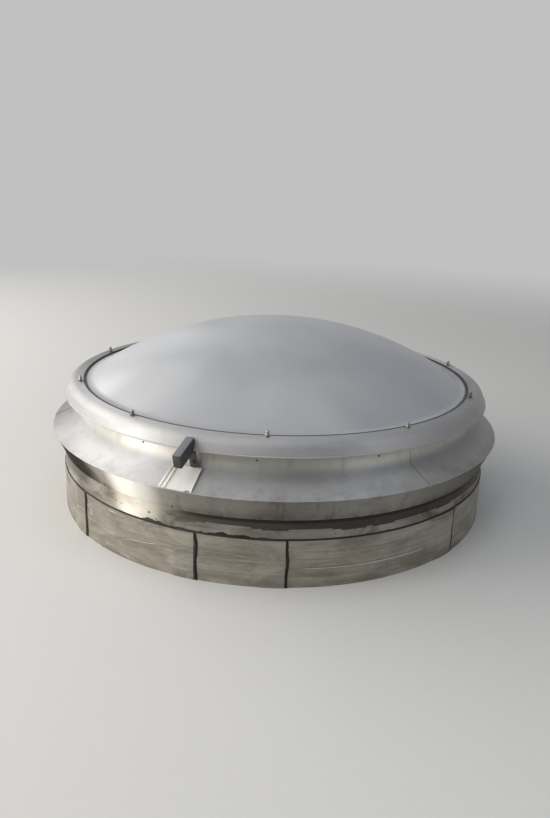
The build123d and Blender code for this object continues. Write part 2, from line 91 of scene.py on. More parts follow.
class Signal:
    """Value that varies over a surface, carried by a node's output socket."""

    def __init__(self, board: "Board", socket: bpy.types.NodeSocket | None) -> None:
        """Wrap a socket of a board's node tree."""
        self.board = board
        self.socket = socket

    def _math(self, operation: str, first: Number, second: Number = 0.0) -> "Signal":
        """Result of one Math node with two values."""
        return self.board.add("ShaderNodeMath", {"operation": operation}, {0: first, 1: second})

    def __add__(self, other: Number) -> "Signal":
        """Sum."""
        return self._math("ADD", self, other)

    def __radd__(self, other: Number) -> "Signal":
        """Sum, reflected."""
        return self._math("ADD", other, self)

    def __sub__(self, other: Number) -> "Signal":
        """Difference."""
        return self._math("SUBTRACT", self, other)

    def __rsub__(self, other: Number) -> "Signal":
        """Difference, reflected."""
        return self._math("SUBTRACT", other, self)

    def __mul__(self, other: Number) -> "Signal":
        """Product."""
        return self._math("MULTIPLY", self, other)

    def __rmul__(self, other: Number) -> "Signal":
        """Product, reflected."""
        return self._math("MULTIPLY", other, self)

    def __truediv__(self, other: Number) -> "Signal":
        """Quotient."""
        return self._math("DIVIDE", self, other)

    def __rtruediv__(self, other: Number) -> "Signal":
        """Quotient, reflected."""
        return self._math("DIVIDE", other, self)

    def __pow__(self, other: Number) -> "Signal":
        """Power."""
        return self._math("POWER", self, other)

    def __abs__(self) -> "Signal":
        """Absolute value."""
        return self._math("ABSOLUTE", self)

    def least(self, other: Number) -> "Signal":
        """Smaller of two values."""
        return self._math("MINIMUM", self, other)

    def most(self, other: Number) -> "Signal":
        """Larger of two values."""
        return self._math("MAXIMUM", self, other)

    def snapped(self, step: float) -> "Signal":
        """Value rounded down to whole steps."""
        return self._math("SNAP", self, step)

    def ramp(self, low: float, high: float) -> "Signal":
        """Smooth step from 0 at low to 1 at high, or from 1 down to 0 where low is above high.

        Args:
            low: Value that gives 0.
            high: Value that gives 1.

        Returns:
            The stepped signal.
        """
        if low > high:
            return 1.0 - self.ramp(high, low)
        limits = {"Value": self, "From Min": low, "From Max": high}
        return self.board.add("ShaderNodeMapRange", {"interpolation_type": "SMOOTHSTEP"}, limits)


class Board:
    """Node tree on which a finish or a backdrop is drawn."""

    def __init__(self, tree: bpy.types.NodeTree) -> None:
        """Start on an empty tree.

        Args:
            tree: The node tree, which is emptied.
        """
        self.tree = tree
        self.tree.nodes.clear()
        self._place: Signal | None = None

    def add(
        self, kind: str, settings: dict[str, object] | None = None, inputs: Inputs | None = None,
        output: Union[int, str] = 0,
    ) -> Signal:
        """Put one node on the board.

        Args:
            kind: The node's type.
            settings: Its settings, such as an operation.
            inputs: Values or signals of its input sockets.
            output: The output socket to carry on from, where the node has any.

        Returns:
            The signal of that output.
        """
        node = self.tree.nodes.new(kind)
        for name, value in (settings or {}).items():
            setattr(node, name, value)
        for name, value in (inputs or {}).items():
            socket = node.inputs[name]
            if isinstance(value, Signal):
                self.tree.links.new(value.socket, socket)
            elif isinstance(value, tuple) and socket.type == "RGBA":
                socket.default_value = (*value, 1.0)
            else:
                socket.default_value = value
        return Signal(self, node.outputs[output] if node.outputs else None)

    def place(self) -> Signal:
        """Object coordinates of the surface, from one node for the whole board.

        Returns:
            The coordinates.
        """
        if self._place is None:
            self._place = self.add("ShaderNodeTexCoord", output="Object")
        return self._place

    def axis(self, name: str) -> Signal:
        """One coordinate, X, Y or Z, of the surface."""
        return self.add("ShaderNodeSeparateXYZ", inputs={0: self.place()}, output=name)

    def reach(self) -> Signal:
        """Distance of the surface from the upright axis."""
        x, y = self.axis("X"), self.axis("Y")
        return (x * x + y * y) ** 0.5

    def toward(self, azimuth: float) -> Signal:
        """Cosine of the angle between the surface's azimuth and a given one."""
        x, y = self.axis("X"), self.axis("Y")
        return (x * cos(radians(azimuth)) + y * sin(radians(azimuth))) / self.reach()

    def strip(self, azimuth: float, stir: Signal, low: float, high: float) -> Signal:
        """Upright strip about an azimuth, with an edge between two cosines that noise stirs."""
        return (self.toward(azimuth) + stir).ramp(low, high)

    def noise(
        self, stretch: Union[Triple, float], detail: float = 3.0, roughness: float = 0.5, shift: float = 0.0,
        warp: float = 0.0,
    ) -> Signal:
        """Fractal noise in space.

        Args:
            stretch: Lumps per metre, the same all ways or along X, Y and Z.
            detail: Octaves.
            roughness: Weight of the finer octaves.
            shift: Offset that gives another pattern.
            warp: Distortion.

        Returns:
            Noise around 0.5.
        """
        scale = stretch if isinstance(stretch, tuple) else (stretch, stretch, stretch)
        offset = (shift, shift * 1.7, shift * 0.6)
        where = self.add(
            "ShaderNodeMapping", {}, {"Vector": self.place(), "Location": offset, "Scale": scale}
        )
        return self.add(
            "ShaderNodeTexNoise",
            {"noise_dimensions": "3D"},
            {"Vector": where, "Scale": 1.0, "Detail": detail, "Roughness": roughness, "Distortion": warp},
        )

    def blend(self, share: Number, first: object, second: object) -> Signal:
        """Mix of two colours or their signals, with a share of the second."""
        settings = {"data_type": "RGBA", "clamp_factor": True}
        return self.add("ShaderNodeMix", settings, {0: share, 6: first, 7: second}, output=2)

    def layers(self, base: object, *coats: tuple[Number, Rgb]) -> Signal:
        """Colour with coats over it.

        Args:
            base: The colour below.
            coats: Share and colour of each coat, from the lowest one up.

        Returns:
            The mixed colour.
        """
        for share, tone in coats:
            base = self.blend(share, base, tone)
        return base

    def relief(self, *layers: tuple[Signal, float]) -> Signal:
        """Normals of reliefs that lie on each other.

        Args:
            layers: Height from 0 to 1, and depth in metres, of each relief, from the lowest one up.

        Returns:
            The normals.
        """
        below: Inputs = {}
        for height, depth in layers:
            inputs = {"Height": height, "Distance": depth, "Strength": 1.0, **below}
            below = {"Normal": self.add("ShaderNodeBump", {}, inputs)}
        return below["Normal"]

    def surface(self, **sockets: object) -> None:
        """Finish a material with one Principled shader, its sockets named with underscores."""
        inputs = {name.replace("_", " "): value for name, value in sockets.items()}
        self.show(self.add("ShaderNodeBsdfPrincipled", {}, inputs, output="BSDF"))

    def show(self, shader: Signal, kind: str = "Material") -> None:
        """Link a shader to the output of a material or a world."""
        self.add(f"ShaderNodeOutput{kind}", {}, {"Surface": shader})


# Finishes


@dataclass(frozen=True)
class Finish:
    """Surface finish of a piece, drawn once as a material."""

    name: str
    slot: str

    def draw(self, board: Board) -> None:
        """Draw the finish on a board."""
        raise NotImplementedError

    def material(self) -> bpy.types.Material:
        """Material of this finish, made at its first use.

        Returns:
            The material.
        """
        found = bpy.data.materials.get(self.name)
        if found is not None:
            return found
        made = bpy.data.materials.new(self.name)
        made.use_nodes = True
        self.draw(Board(made.node_tree))
        return made


@dataclass(frozen=True)
class RolledAluminium(Finish):
    """Mill-finished aluminium sheet: cloudy, partly as painted sky reflection, with runs, grime, painted
    shade at one side, a painted highlight strip and a painted reflection on its upper band.
    """

    tone: Rgb = (0.44, 0.44, 0.435)
    # Darker mottle, partly cloudy mill finish and partly painted sky reflection; runs take it too.
    mottle_and_reflection_tone: Rgb = (0.30, 0.305, 0.315)
    grime_tone: Rgb = (0.10, 0.088, 0.072)
    mottle_and_reflection_share: float = 0.5
    run_share: float = 0.35
    grime_low: float = 0.0
    grime_high: float = 0.001
    grime_share: float = 0.0
    # Painted shade and dark reflection at one side, a painted highlight strip, and a painted reflection on
    # the upper band
    painted_shade_azimuth: float = 0.0
    painted_shade_share: float = 0.0
    painted_shade_gloss: float = 0.0
    painted_highlight_azimuth: float = 0.0
    painted_highlight_tone: Rgb = (0.56, 0.55, 0.52)
    painted_highlight_share: float = 0.0
    upper_painted_reflection_tone: Rgb = (0.5, 0.5, 0.5)
    upper_painted_reflection_share: float = 0.0
    upper_height: float = 0.51
    upper_soft: float = 0.03
    roughness: float = 0.62
    metallic: float = 0.95
    brushing: float = 0.93
    waviness: float = 0.002
    edge_tint: Rgb = (1.0, 1.0, 1.0)

    def draw(self, board: Board) -> None:
        """Draw rolled sheet, its tones from the clouds, partly painted sky reflection, up to the painted
        shade at one side, and its waves and grain.

        Args:
            board: The material's board.
        """
        clouds = board.noise((2.1, 2.1, 5.0), detail=4.0, roughness=0.55, shift=3.1, warp=0.4)
        runs = board.noise((26.0, 26.0, 2.2), detail=4.0, roughness=0.6, shift=7.7)
        grain = board.noise((3.0, 3.0, 260.0), detail=3.0, roughness=0.6, shift=1.3)
        specks = board.noise(120.0, detail=2.0, roughness=0.6, shift=9.2)
        waves = board.noise((1.6, 1.6, 3.2), detail=1.5, roughness=0.4, shift=12.0)
        dents = board.noise((9.0, 9.0, 12.0), detail=1.0, roughness=0.4, shift=5.0)
        height = board.axis("Z")
        run_mask = runs.ramp(0.5, 0.78) * self.run_share
        # Painted reflection: a lighter, warmer band above a height, on the apron's neck under the rim.
        upper = height.ramp(self.upper_height - self.upper_soft, self.upper_height + self.upper_soft)
        grime = height.ramp(self.grime_high, self.grime_low) * (clouds * 0.6 + runs * 0.9).ramp(0.45, 0.95)
        # Painted highlight: a lighter upright strip at one azimuth.
        painted_highlight = board.strip(self.painted_highlight_azimuth, (clouds - 0.5) * 0.006, 0.989, 0.9985)
        # Painted shade and dark reflection: a darker upright strip at one side.
        painted_shade = board.strip(self.painted_shade_azimuth, (clouds - 0.5) * PAINTED_SHADE_STIR, *PAINTED_SHADE_EDGE)
        rough = self.roughness + clouds.ramp(0.35, 0.75) * 0.08 + run_mask * 0.06 + grain * 0.04
        board.surface(
            Base_Color=board.layers(
                self.tone,
                # Mottle: partly cloudy mill finish, partly painted sky reflection.
                (clouds.ramp(0.42, 0.72) * self.mottle_and_reflection_share, self.mottle_and_reflection_tone),
                (upper * self.upper_painted_reflection_share, self.upper_painted_reflection_tone),
                (run_mask, self.mottle_and_reflection_tone),
                (specks.ramp(0.66, 0.8) * 0.25, self.grime_tone),
                (grime * self.grime_share, self.grime_tone),
                (painted_highlight * self.painted_highlight_share, self.painted_highlight_tone),
                (painted_shade * self.painted_shade_share, PAINTED_SHADE_TONE),
            ),
            Metallic=self.metallic,
            Roughness=rough - painted_shade * self.painted_shade_gloss,
            Anisotropic=self.brushing,
            Anisotropic_Rotation=ACROSS_GRAIN,
            Specular_Tint=self.edge_tint,
            Normal=board.relief((waves, self.waviness * 6.0), (dents, self.waviness * 0.5), (grain, 0.00008)),
        )


@dataclass(frozen=True)
class StainedSheet(Finish):
    """Bare kerb sheet: stained, with a dark band at its top, a painted shadow line under the skirt, painted
    shade at one side and a painted highlight strip.
    """

    tone: Rgb = (0.30, 0.282, 0.25)
    stain_tone: Rgb = (0.12, 0.102, 0.080)
    # Drips and smears, and also a painted shadow line under the skirt.
    drip_and_shadow_tone: Rgb = (0.02, 0.018, 0.016)
    # Dark band at the top of the wall, under the skirt.
    dark_band_tone: Rgb = (0.018, 0.0165, 0.015)
    dark_band_azimuth: float = -58.0
    dark_band_edge: float = 0.268
    smear_azimuth: float = -126.0
    smear_foot: float = 0.226
    # Tone of the painted highlight strip.
    painted_highlight_tone: Rgb = (0.43, 0.41, 0.37)

    def draw(self, board: Board) -> None:
        """Draw brown clouds, level streaks, spots, drips at the foot, a dark band with a stroke-stepped edge,
        painted shade, a painted shadow line and a painted highlight strip.

        Args:
            board: The material's board.
        """
        clouds = board.noise((5.0, 5.0, 9.0), detail=5.0, roughness=0.6, shift=2.0, warp=0.6)
        streaks = board.noise((4.0, 4.0, 90.0), detail=3.0, roughness=0.55, shift=4.0)
        drips = board.noise((13.0, 13.0, 16.0), detail=3.0, roughness=0.5, shift=6.0)
        spots = board.noise((42.0, 42.0, 48.0), detail=1.0, roughness=0.4, shift=8.0)
        strokes = board.noise((3.4, 3.4, 0.01), detail=1.0, shift=14.0)
        waves = board.noise((2.0, 2.0, 3.0), detail=2.0, shift=11.0)
        height = board.axis("Z")
        # Painted highlight: a lighter upright strip at one azimuth.
        painted_highlight = board.strip(PAINTED_HIGHLIGHT_AZIMUTH, (clouds - 0.5) * 0.01, 0.991, 0.9985)
        smears = board.toward(self.smear_azimuth).ramp(0.95, 0.99)
        reach = (drips - 0.45).most(0.0) * (0.02 + smears * 0.06) + smears * 0.004
        low = (height - self.smear_foot - reach).ramp(0.003, -0.003)
        # Painted shade and dark reflection: a darker strip at one side, at the top of the wall under the
        # skirt.
        painted_shade = board.strip(PAINTED_SHADE_AZIMUTH, (clouds - 0.5) * PAINTED_SHADE_STIR, *PAINTED_SHADE_EDGE)
        painted_shade = painted_shade * height.ramp(0.245, 0.285)
        # Dark band under the skirt, towards the front and right, with a stepped lower edge.
        edge = height - self.dark_band_edge - (strokes.snapped(0.09) - 0.5) * 0.07 - streaks * 0.004
        dark_band = edge.ramp(-0.0015, 0.0015) * board.toward(self.dark_band_azimuth).ramp(0.16, 0.46)
        board.surface(
            Base_Color=board.layers(
                self.tone,
                (clouds.ramp(0.38, 0.66) * 0.85, self.stain_tone),
                (streaks.ramp(0.5, 0.72) * 0.45, self.stain_tone),
                (painted_highlight * 0.75, self.painted_highlight_tone),
                (spots.ramp(0.74, 0.78) * 0.85, self.drip_and_shadow_tone),
                (low * 0.9, self.drip_and_shadow_tone),
                (painted_shade * 0.75, PAINTED_SHADE_TONE),
                (dark_band * (0.97 - clouds * 0.2), self.dark_band_tone),
                # Painted shadow: a very dark line right under the skirt's foot.
                (height.ramp(0.297, 0.303) * dark_band, self.drip_and_shadow_tone),
            ),
            Metallic=0.85 - dark_band * 0.8,
            Roughness=0.48 + clouds.ramp(0.4, 0.7) * 0.14 + low * 0.2 + dark_band * 0.1,
            Anisotropic=0.93,
            Anisotropic_Rotation=ACROSS_GRAIN,
            Specular_IOR_Level=0.2,
            Normal=board.relief((waves, 0.012), (streaks, 0.0002)),
        )


@dataclass(frozen=True)
class FoilMembrane(Finish):
    """Bitumen sheet faced with dull, creased foil."""

    tone: Rgb = (0.325, 0.302, 0.258)
    dark_tone: Rgb = (0.15, 0.134, 0.108)
    light_tone: Rgb = (0.50, 0.48, 0.43)
    crease_height: float = 0.086
    crease_azimuth: float = -88.0

    def draw(self, board: Board) -> None:
        """Draw creased foil: level streaks, cloudy dirt, pale creases and a dirty foot.

        Args:
            board: The material's board.
        """
        streaks = board.noise((1.7, 1.7, 95.0), detail=4.0, roughness=0.6, shift=2.0)
        fine = board.noise((7.0, 7.0, 330.0), detail=3.0, roughness=0.6, shift=5.0)
        clouds = board.noise((4.5, 4.5, 11.0), detail=5.0, roughness=0.62, shift=7.0, warp=0.4)
        creases = board.noise((1.3, 1.3, 11.0), detail=2.0, roughness=0.4, shift=9.0)
        height = board.axis("Z")
        level = height + (creases - 0.5) * 0.02 - self.crease_height
        fold = abs(level).ramp(0.0036, 0.0008) * board.toward(self.crease_azimuth).ramp(0.962, 0.968)
        ridge = (abs(creases - 0.5).ramp(0.010, 0.002) * clouds.ramp(0.5, 0.62)).most(fold)
        foot = height.ramp(0.06, 0.0) * clouds.ramp(0.3, 0.6)
        board.surface(
            Base_Color=board.layers(
                self.tone,
                (clouds.ramp(0.34, 0.66) * 0.75, self.dark_tone),
                (streaks.ramp(0.5, 0.72) * 0.5, self.dark_tone),
                (streaks.ramp(0.42, 0.26) * 0.35, self.light_tone),
                (fine.ramp(0.4, 0.2) * 0.25, self.light_tone),
                (ridge * 0.45 + fold * 0.3, self.light_tone),
                (foot * 0.5, self.dark_tone),
            ),
            Metallic=0.5,
            Roughness=0.4 + clouds.ramp(0.4, 0.7) * 0.2 + fine * 0.1,
            Normal=board.relief((clouds, 0.008), (streaks, 0.0014), (ridge, 0.0016), (fine, 0.0002)),
        )


@dataclass(frozen=True)
class Bitumen(Finish):
    """Black bitumen, squeezed out hot and gone dull."""

    tone: Rgb = (0.011, 0.010, 0.009)
    dust_tone: Rgb = (0.06, 0.05, 0.04)

    def draw(self, board: Board) -> None:
        """Draw dusty bitumen.

        Args:
            board: The material's board.
        """
        lumps = board.noise(60.0, detail=3.0, shift=1.0)
        dust = board.noise((14.0, 14.0, 20.0), detail=3.0, shift=3.0)
        board.surface(
            Base_Color=board.blend(dust.ramp(0.5, 0.75) * 0.5, self.tone, self.dust_tone),
            Roughness=0.52 + lumps * 0.25,
            Specular_IOR_Level=0.25,
            Normal=board.relief((lumps, 0.0015)),
        )


@dataclass(frozen=True)
class OpalAcrylic(Finish):
    """Opal acrylic with a polished skin, a faint film of dust, and dirt with painted shade at the seat."""

    tone: Rgb = (0.28, 0.288, 0.306)
    film_tone: Rgb = (0.33, 0.336, 0.352)
    # Dirt and painted shade at the seat.
    seat_dirt_and_shade_tone: Rgb = (0.05, 0.05, 0.05)
    seat_start: float = 0.990
    seat_end: float = 1.000

    def draw(self, board: Board) -> None:
        """Draw polished acrylic: cloudy film, dried drops, and dirt with painted shade at the seat.

        Args:
            board: The material's board.
        """
        film = board.noise(2.8, detail=2.0, roughness=0.4, shift=4.0, warp=0.2)
        wipes = board.noise((5.0, 1.8, 3.0), detail=2.0, roughness=0.4, shift=6.0, warp=0.3)
        drops = board.noise(90.0, detail=1.0, roughness=0.4, shift=8.0)
        swell = board.noise(2.4, detail=1.0, roughness=0.3, shift=2.0)
        # Dirt and painted shade: the seat next to the clamp ring is darker.
        seat = board.reach().ramp(self.seat_start, self.seat_end)
        board.surface(
            Base_Color=board.layers(
                self.tone,
                (film.ramp(0.28, 0.78), self.film_tone),
                (wipes.ramp(0.45, 0.85) * 0.25, self.film_tone),
                (seat * 0.85, self.seat_dirt_and_shade_tone),
            ),
            Roughness=0.30 + film * 0.10 + drops.ramp(0.62, 0.8) * 0.05 + seat * 0.3,
            IOR=1.49,
            Specular_IOR_Level=0.33,
            Coat_Weight=0.03,
            Coat_Roughness=0.14,
            Normal=board.relief((swell, 0.024)),
        )


@dataclass(frozen=True)
class PaintedSteel(Finish):
    """Dark painted steel with worn, dusty edges, and painted light that makes faces that face up paler."""

    tone: Rgb = (0.034, 0.032, 0.029)
    dust_tone: Rgb = (0.11, 0.105, 0.095)
    # Painted light on faces that face up.
    painted_top_light_tone: Rgb = (0.160, 0.168, 0.188)

    def draw(self, board: Board) -> None:
        """Draw worn paint, with painted sky light on faces that face up, which makes them paler and bluer.

        Args:
            board: The material's board.
        """
        dust = board.noise(18.0, detail=4.0, shift=2.0)
        peel = board.noise(220.0, detail=2.0, shift=4.0)
        edges = board.add("ShaderNodeNewGeometry", output="Pointiness").ramp(0.52, 0.6)
        # Painted light: faces that face up are paler and bluer.
        facing = board.add("ShaderNodeNewGeometry", output="Normal")
        painted_top_light = board.add("ShaderNodeSeparateXYZ", inputs={0: facing}, output="Z").ramp(0.7, 0.95)
        board.surface(
            Base_Color=board.layers(
                self.tone,
                (dust.ramp(0.45, 0.75) * 0.6, self.dust_tone),
                (edges * 0.6, self.dust_tone),
                (painted_top_light * (1.0 - dust * 0.3), self.painted_top_light_tone),
            ),
            Metallic=0.1,
            Roughness=0.48 + dust * 0.2,
            Specular_IOR_Level=0.3,
            Normal=board.relief((peel, 0.0002)),
        )


@dataclass(frozen=True)
class BareMetal(Finish):
    """Plain bare metal of small parts, dulled by the weather."""

    tone: Rgb = (0.42, 0.42, 0.41)
    dull_tone: Rgb = (0.2, 0.195, 0.18)
    roughness: float = 0.36
    scale: float = 40.0
    metallic: float = 0.9

    def draw(self, board: Board) -> None:
        """Draw dulled metal.

        Args:
            board: The material's board.
        """
        dull = board.noise(self.scale, detail=3.0, shift=2.0)
        grain = board.noise(self.scale * 6, detail=2.0, shift=4.0)
        board.surface(
            Base_Color=board.blend(dull.ramp(0.4, 0.7) * 0.8, self.tone, self.dull_tone),
            Metallic=self.metallic,
            Roughness=self.roughness + dull * 0.2,
            Normal=board.relief((grain, 0.0002)),
        )


@dataclass(frozen=True)
class SoftSolid(Finish):
    """Matt foam or rubber."""

    tone: Rgb = (0.62, 0.57, 0.42)
    deep_tone: Rgb = (0.5, 0.45, 0.33)
    scale: float = 90.0
    depth: float = 0.0008
    roughness: float = 0.8

    def draw(self, board: Board) -> None:
        """Draw a fine-celled matt surface.

        Args:
            board: The material's board.
        """
        cells = board.noise(self.scale, detail=3.0, shift=3.0)
        patches = board.noise((3.0, 3.0, 6.0), detail=3.0, shift=5.0)
        mask = (cells * 0.5 + patches * 0.5).ramp(0.35, 0.65)
        board.surface(
            Base_Color=board.blend(mask, self.tone, self.deep_tone),
            Roughness=self.roughness + cells * 0.1,
            Normal=board.relief((cells, self.depth)),
        )


# Modelling tools


def around(radius: float, azimuth: float, height: float = 0.0) -> Vector:
    """Point at a radius, an azimuth and a height."""
    return Vector((radius * cos(radians(azimuth)), radius * sin(radians(azimuth)), height))


def angle_of(length: float, radius: float) -> float:
    """Azimuths that a length takes up at a radius."""
    return length * degrees(1.0 / radius)


def lengths(starts: Sequence[float]) -> list[tuple[int, float, float]]:
    """Number, start and end of the lengths that close a turn, from their starts."""
    ends = (*starts[1:], starts[0] + FULL_TURN)
    return [(number, start, end) for number, (start, end) in enumerate(zip(starts, ends), 1)]


def corners(*pairs: tuple[float, float]) -> list[Vector]:
    """Corners of a line, each a radius and a height."""
    return [Vector(pair) for pair in pairs]


def spoke(angle: float) -> Vector:
    """Unit vector of a section, turned outwards from upright."""
    return Vector((sin(angle), cos(angle)))


def beside(points: Sequence[Vector], distance: float) -> list[Vector]:
    """Broken line moved to the right of its direction.

    Args:
        points: Corners as radius and height.
        distance: Distance to the right, in metres.

    Returns:
        The moved corners, mitred.
    """
    runs = [(end - start).normalized() for start, end in zip(points, points[1:])]
    sides = [Vector((run.y, -run.x)) for run in runs]
    moved = [points[0] + sides[0] * distance]
    for corner, before, after in zip(points[1:], sides, sides[1:]):
        mitre = before + after
        moved.append(corner + mitre * (distance / mitre.dot(before)))
    moved.append(points[-1] + sides[-1] * distance)
    return moved


def rounded(points: Sequence[Vector], bend: float, steps: int) -> list[Vector]:
    """Broken line with its corners rounded.

    Args:
        points: Corners as radius and height.
        bend: Radius of each bend.
        steps: Faces round each bend.

    Returns:
        Points along the rounded line.
    """
    line = [points[0]]
    for before, corner, after in zip(points, points[1:], points[2:]):
        to_before = (before - corner).normalized()
        to_after = (after - corner).normalized()
        half = acos(max(-1.0, min(1.0, to_before.dot(to_after)))) / 2
        setback = bend / tan(half)
        middle = corner + (to_before + to_after).normalized() * (bend / sin(half))
        first = corner + to_before * setback - middle
        last = corner + to_after * setback - middle
        sweep = pi - 2 * half
        for step in range(steps + 1):
            share = step / steps
            line.append(middle + (first * sin((1 - share) * sweep) + last * sin(share * sweep)) / sin(sweep))
    line.append(points[-1])
    return line


def shell(outside: Sequence[Vector], inside: Sequence[Vector]) -> list[Vector]:
    """Closed section between two lines that run the same way."""
    return [*outside, *inside[::-1], outside[0]]


def pick(*pieces: Piece) -> None:
    """Select these objects alone, with the first one active.

    Args:
        pieces: The objects.
    """
    bpy.ops.object.select_all(action="DESELECT")
    for piece in pieces:
        piece.select_set(True)
    bpy.context.view_layer.objects.active = pieces[0]


def fresh(kind: str, **options: object) -> Piece:
    """Add a mesh primitive with nothing else selected.

    Args:
        kind: Name of the primitive, such as cube.
        options: Options of its operator.

    Returns:
        The new object.
    """
    if bpy.context.object and bpy.context.object.mode != "OBJECT":
        bpy.ops.object.mode_set(mode="OBJECT")
    bpy.ops.object.select_all(action="DESELECT")
    getattr(bpy.ops.mesh, f"primitive_{kind}_add")(**options)
    return bpy.context.object


def trace(points: Iterable[Vector]) -> Piece:
    """Draw a chain of edges by extruding one vertex.

    Args:
        points: The chain's points in space.

    Returns:
        The new object, in edit mode, with its last vertex selected.
    """
    chain = list(points)
    piece = fresh("plane", size=0.01)
    bpy.ops.object.mode_set(mode="EDIT")
    bpy.ops.mesh.select_all(action="SELECT")
    bpy.ops.mesh.merge(type="CENTER")
    bpy.ops.transform.translate(value=chain[0])
    for start, end in zip(chain, chain[1:]):
        bpy.ops.mesh.extrude_vertices_move(TRANSFORM_OT_translate={"value": end - start})
    return piece


def spin(sweep: float, steps: int) -> None:
    """Spin what is selected round the upright axis, towards rising azimuths."""
    bpy.ops.mesh.spin(steps=steps, angle=radians(sweep), center=(0, 0, 0), axis=(0, 0, -1))


def close_up(piece: Piece, holes: bool) -> Piece:
    """Weld a mesh in edit mode, turn its faces outwards and leave edit mode.

    Args:
        piece: The object in edit mode.
        holes: Whether open ends are filled.

    Returns:
        The same object.
    """
    bpy.ops.mesh.select_all(action="SELECT")
    bpy.ops.mesh.remove_doubles(threshold=WELD)
    if holes:
        bpy.ops.mesh.select_all(action="SELECT")
        bpy.ops.mesh.fill_holes(sides=0)
    bpy.ops.mesh.select_all(action="SELECT")
    bpy.ops.mesh.normals_make_consistent(inside=False)
    bpy.ops.object.mode_set(mode="OBJECT")
    return piece


def turned(
    line: Sequence[Vector], start: float = 0.0, sweep: float = FULL_TURN, steps: int | None = None
) -> Piece:
    """Turn a section round the upright axis.

    Args:
        line: The section's points as radius and height.
        start: Azimuth of the start.
        sweep: Angle turned through, towards rising azimuths.
        steps: Faces round the turn.

    Returns:
        The turned object, closed.
    """
    piece = trace(around(point.x, start, point.y) for point in line)
    bpy.ops.mesh.select_all(action="SELECT")
    spin(sweep, steps or max(2, round(FULL_TURN_STEPS * sweep / FULL_TURN)))
    return close_up(piece, holes=sweep < FULL_TURN)


def apply_modifier(piece: Piece, kind: str, **options: object) -> Piece:
    """Add a modifier, set it and apply it.

    Args:
        piece: The object.
        kind: The modifier's type.
        options: Its settings.

    Returns:
        The same object.
    """
    pick(piece)
    modifier = piece.modifiers.new(kind.title(), kind)
    for name, value in options.items():
        setattr(modifier, name, value)
    bpy.ops.object.modifier_apply(modifier=modifier.name)
    return piece


def bevelled(piece: Piece, width: float, segments: int = 2) -> Piece:
    """Round the sharp edges of a piece."""
    return apply_modifier(piece, "BEVEL", width=width, segments=segments, limit_method="ANGLE")


def cut(piece: Piece, cutter: Piece) -> None:
    """Take a cutter's form out of a piece and remove the cutter."""
    apply_modifier(piece, "BOOLEAN", operation="DIFFERENCE", object=cutter, solver="EXACT")
    bpy.data.objects.remove(cutter)


def smooth(piece: Piece, angle: float) -> Piece:
    """Shade smooth, with edges sharper than an angle left sharp.

    Args:
        piece: The object.
        angle: The angle in degrees.

    Returns:
        The same object.
    """
    pick(piece)
    bpy.ops.object.shade_smooth_by_angle(angle=radians(angle))
    return piece


def settle(piece: Piece, place: Matrix) -> Piece:
    """Bake a place into a piece's mesh and leave its object at the origin.

    Args:
        piece: The object.
        place: The place.

    Returns:
        The same object.
    """
    piece.matrix_world = place @ piece.matrix_world
    pick(piece)
    bpy.ops.object.transform_apply(location=True, rotation=True, scale=True)
    return piece


def block(size: Sequence[float], centre: Sequence[float] = (0, 0, 0), place: Matrix | None = None) -> Piece:
    """Box of a size about a centre in a frame.

    Args:
        size: Its length along each axis.
        centre: Its centre.
        place: The frame, or none for the world's.

    Returns:
        The box, its object at the origin.
    """
    piece = fresh("cube", size=1.0)
    bpy.ops.transform.resize(value=size)
    bpy.ops.transform.translate(value=centre)
    return settle(piece, place or Matrix.Identity(4))


def prism(
    sides: int, radius: float, height: float, bevel: float, segments: int = 2, base: float = 0.0
) -> Piece:
    """Upright prism with bevelled edges.

    Args:
        sides: Number of its sides.
        radius: Radius of its corners.
        height: Its height.
        bevel: Width of the bevels.
        segments: Faces across each bevel.
        base: Height of its underside.

    Returns:
        The prism.
    """
    seat = (0, 0, base + height / 2)
    piece = fresh("cylinder", vertices=sides, radius=radius, depth=height, location=seat)
    return bevelled(piece, bevel, segments)


def joined(pieces: Sequence[Piece]) -> Piece:
    """Join objects into the first of them.

    Args:
        pieces: The objects.

    Returns:
        The first object, with all the meshes.
    """
    pick(*pieces)
    if len(pieces) > 1:
        bpy.ops.object.join()
    return pieces[0]


def repeated(made: Piece, places: Sequence[Matrix]) -> Piece:
    """Put copies of a piece in several places, in the piece's stead.

    Args:
        made: The piece, which is removed.
        places: A place for each copy.

    Returns:
        The copies, joined.
    """
    twins = []
    for place in places:
        twin = made.copy()
        twin.data = made.data.copy()
        bpy.context.scene.collection.objects.link(twin)
        twin.matrix_world = made.matrix_world.copy()
        twins.append(settle(twin, place))
    bpy.data.objects.remove(made)
    return joined(twins)


def standing(origin: Vector, right: Vector, out: Vector) -> Matrix:
    """Frame with its x to the right and its z outwards.

    Args:
        origin: The frame's origin.
        right: Direction of its x.
        out: Direction of its z.

    Returns:
        The frame's matrix.
    """
    z = out.normalized()
    x = right.normalized()
    turn = Matrix((x, z.cross(x), z)).transposed().to_4x4()
    return Matrix.Translation(origin) @ turn


def on_slope(upper: Vector, lower: Vector, along: float, azimuth: float) -> Matrix:
    """Frame on a sloping skin, with its z outwards.

    Args:
        upper: Upper corner of the skin's line, as radius and height.
        lower: Lower corner.
        along: Distance down from the upper corner.
        azimuth: Azimuth of the place.

    Returns:
        The frame's matrix.
    """
    run = (lower - upper).normalized()
    spot = upper + run * along
    out = around(-run.y, azimuth, run.x)
    return standing(around(spot.x, azimuth, spot.y), around(1.0, azimuth + 90.0), out)


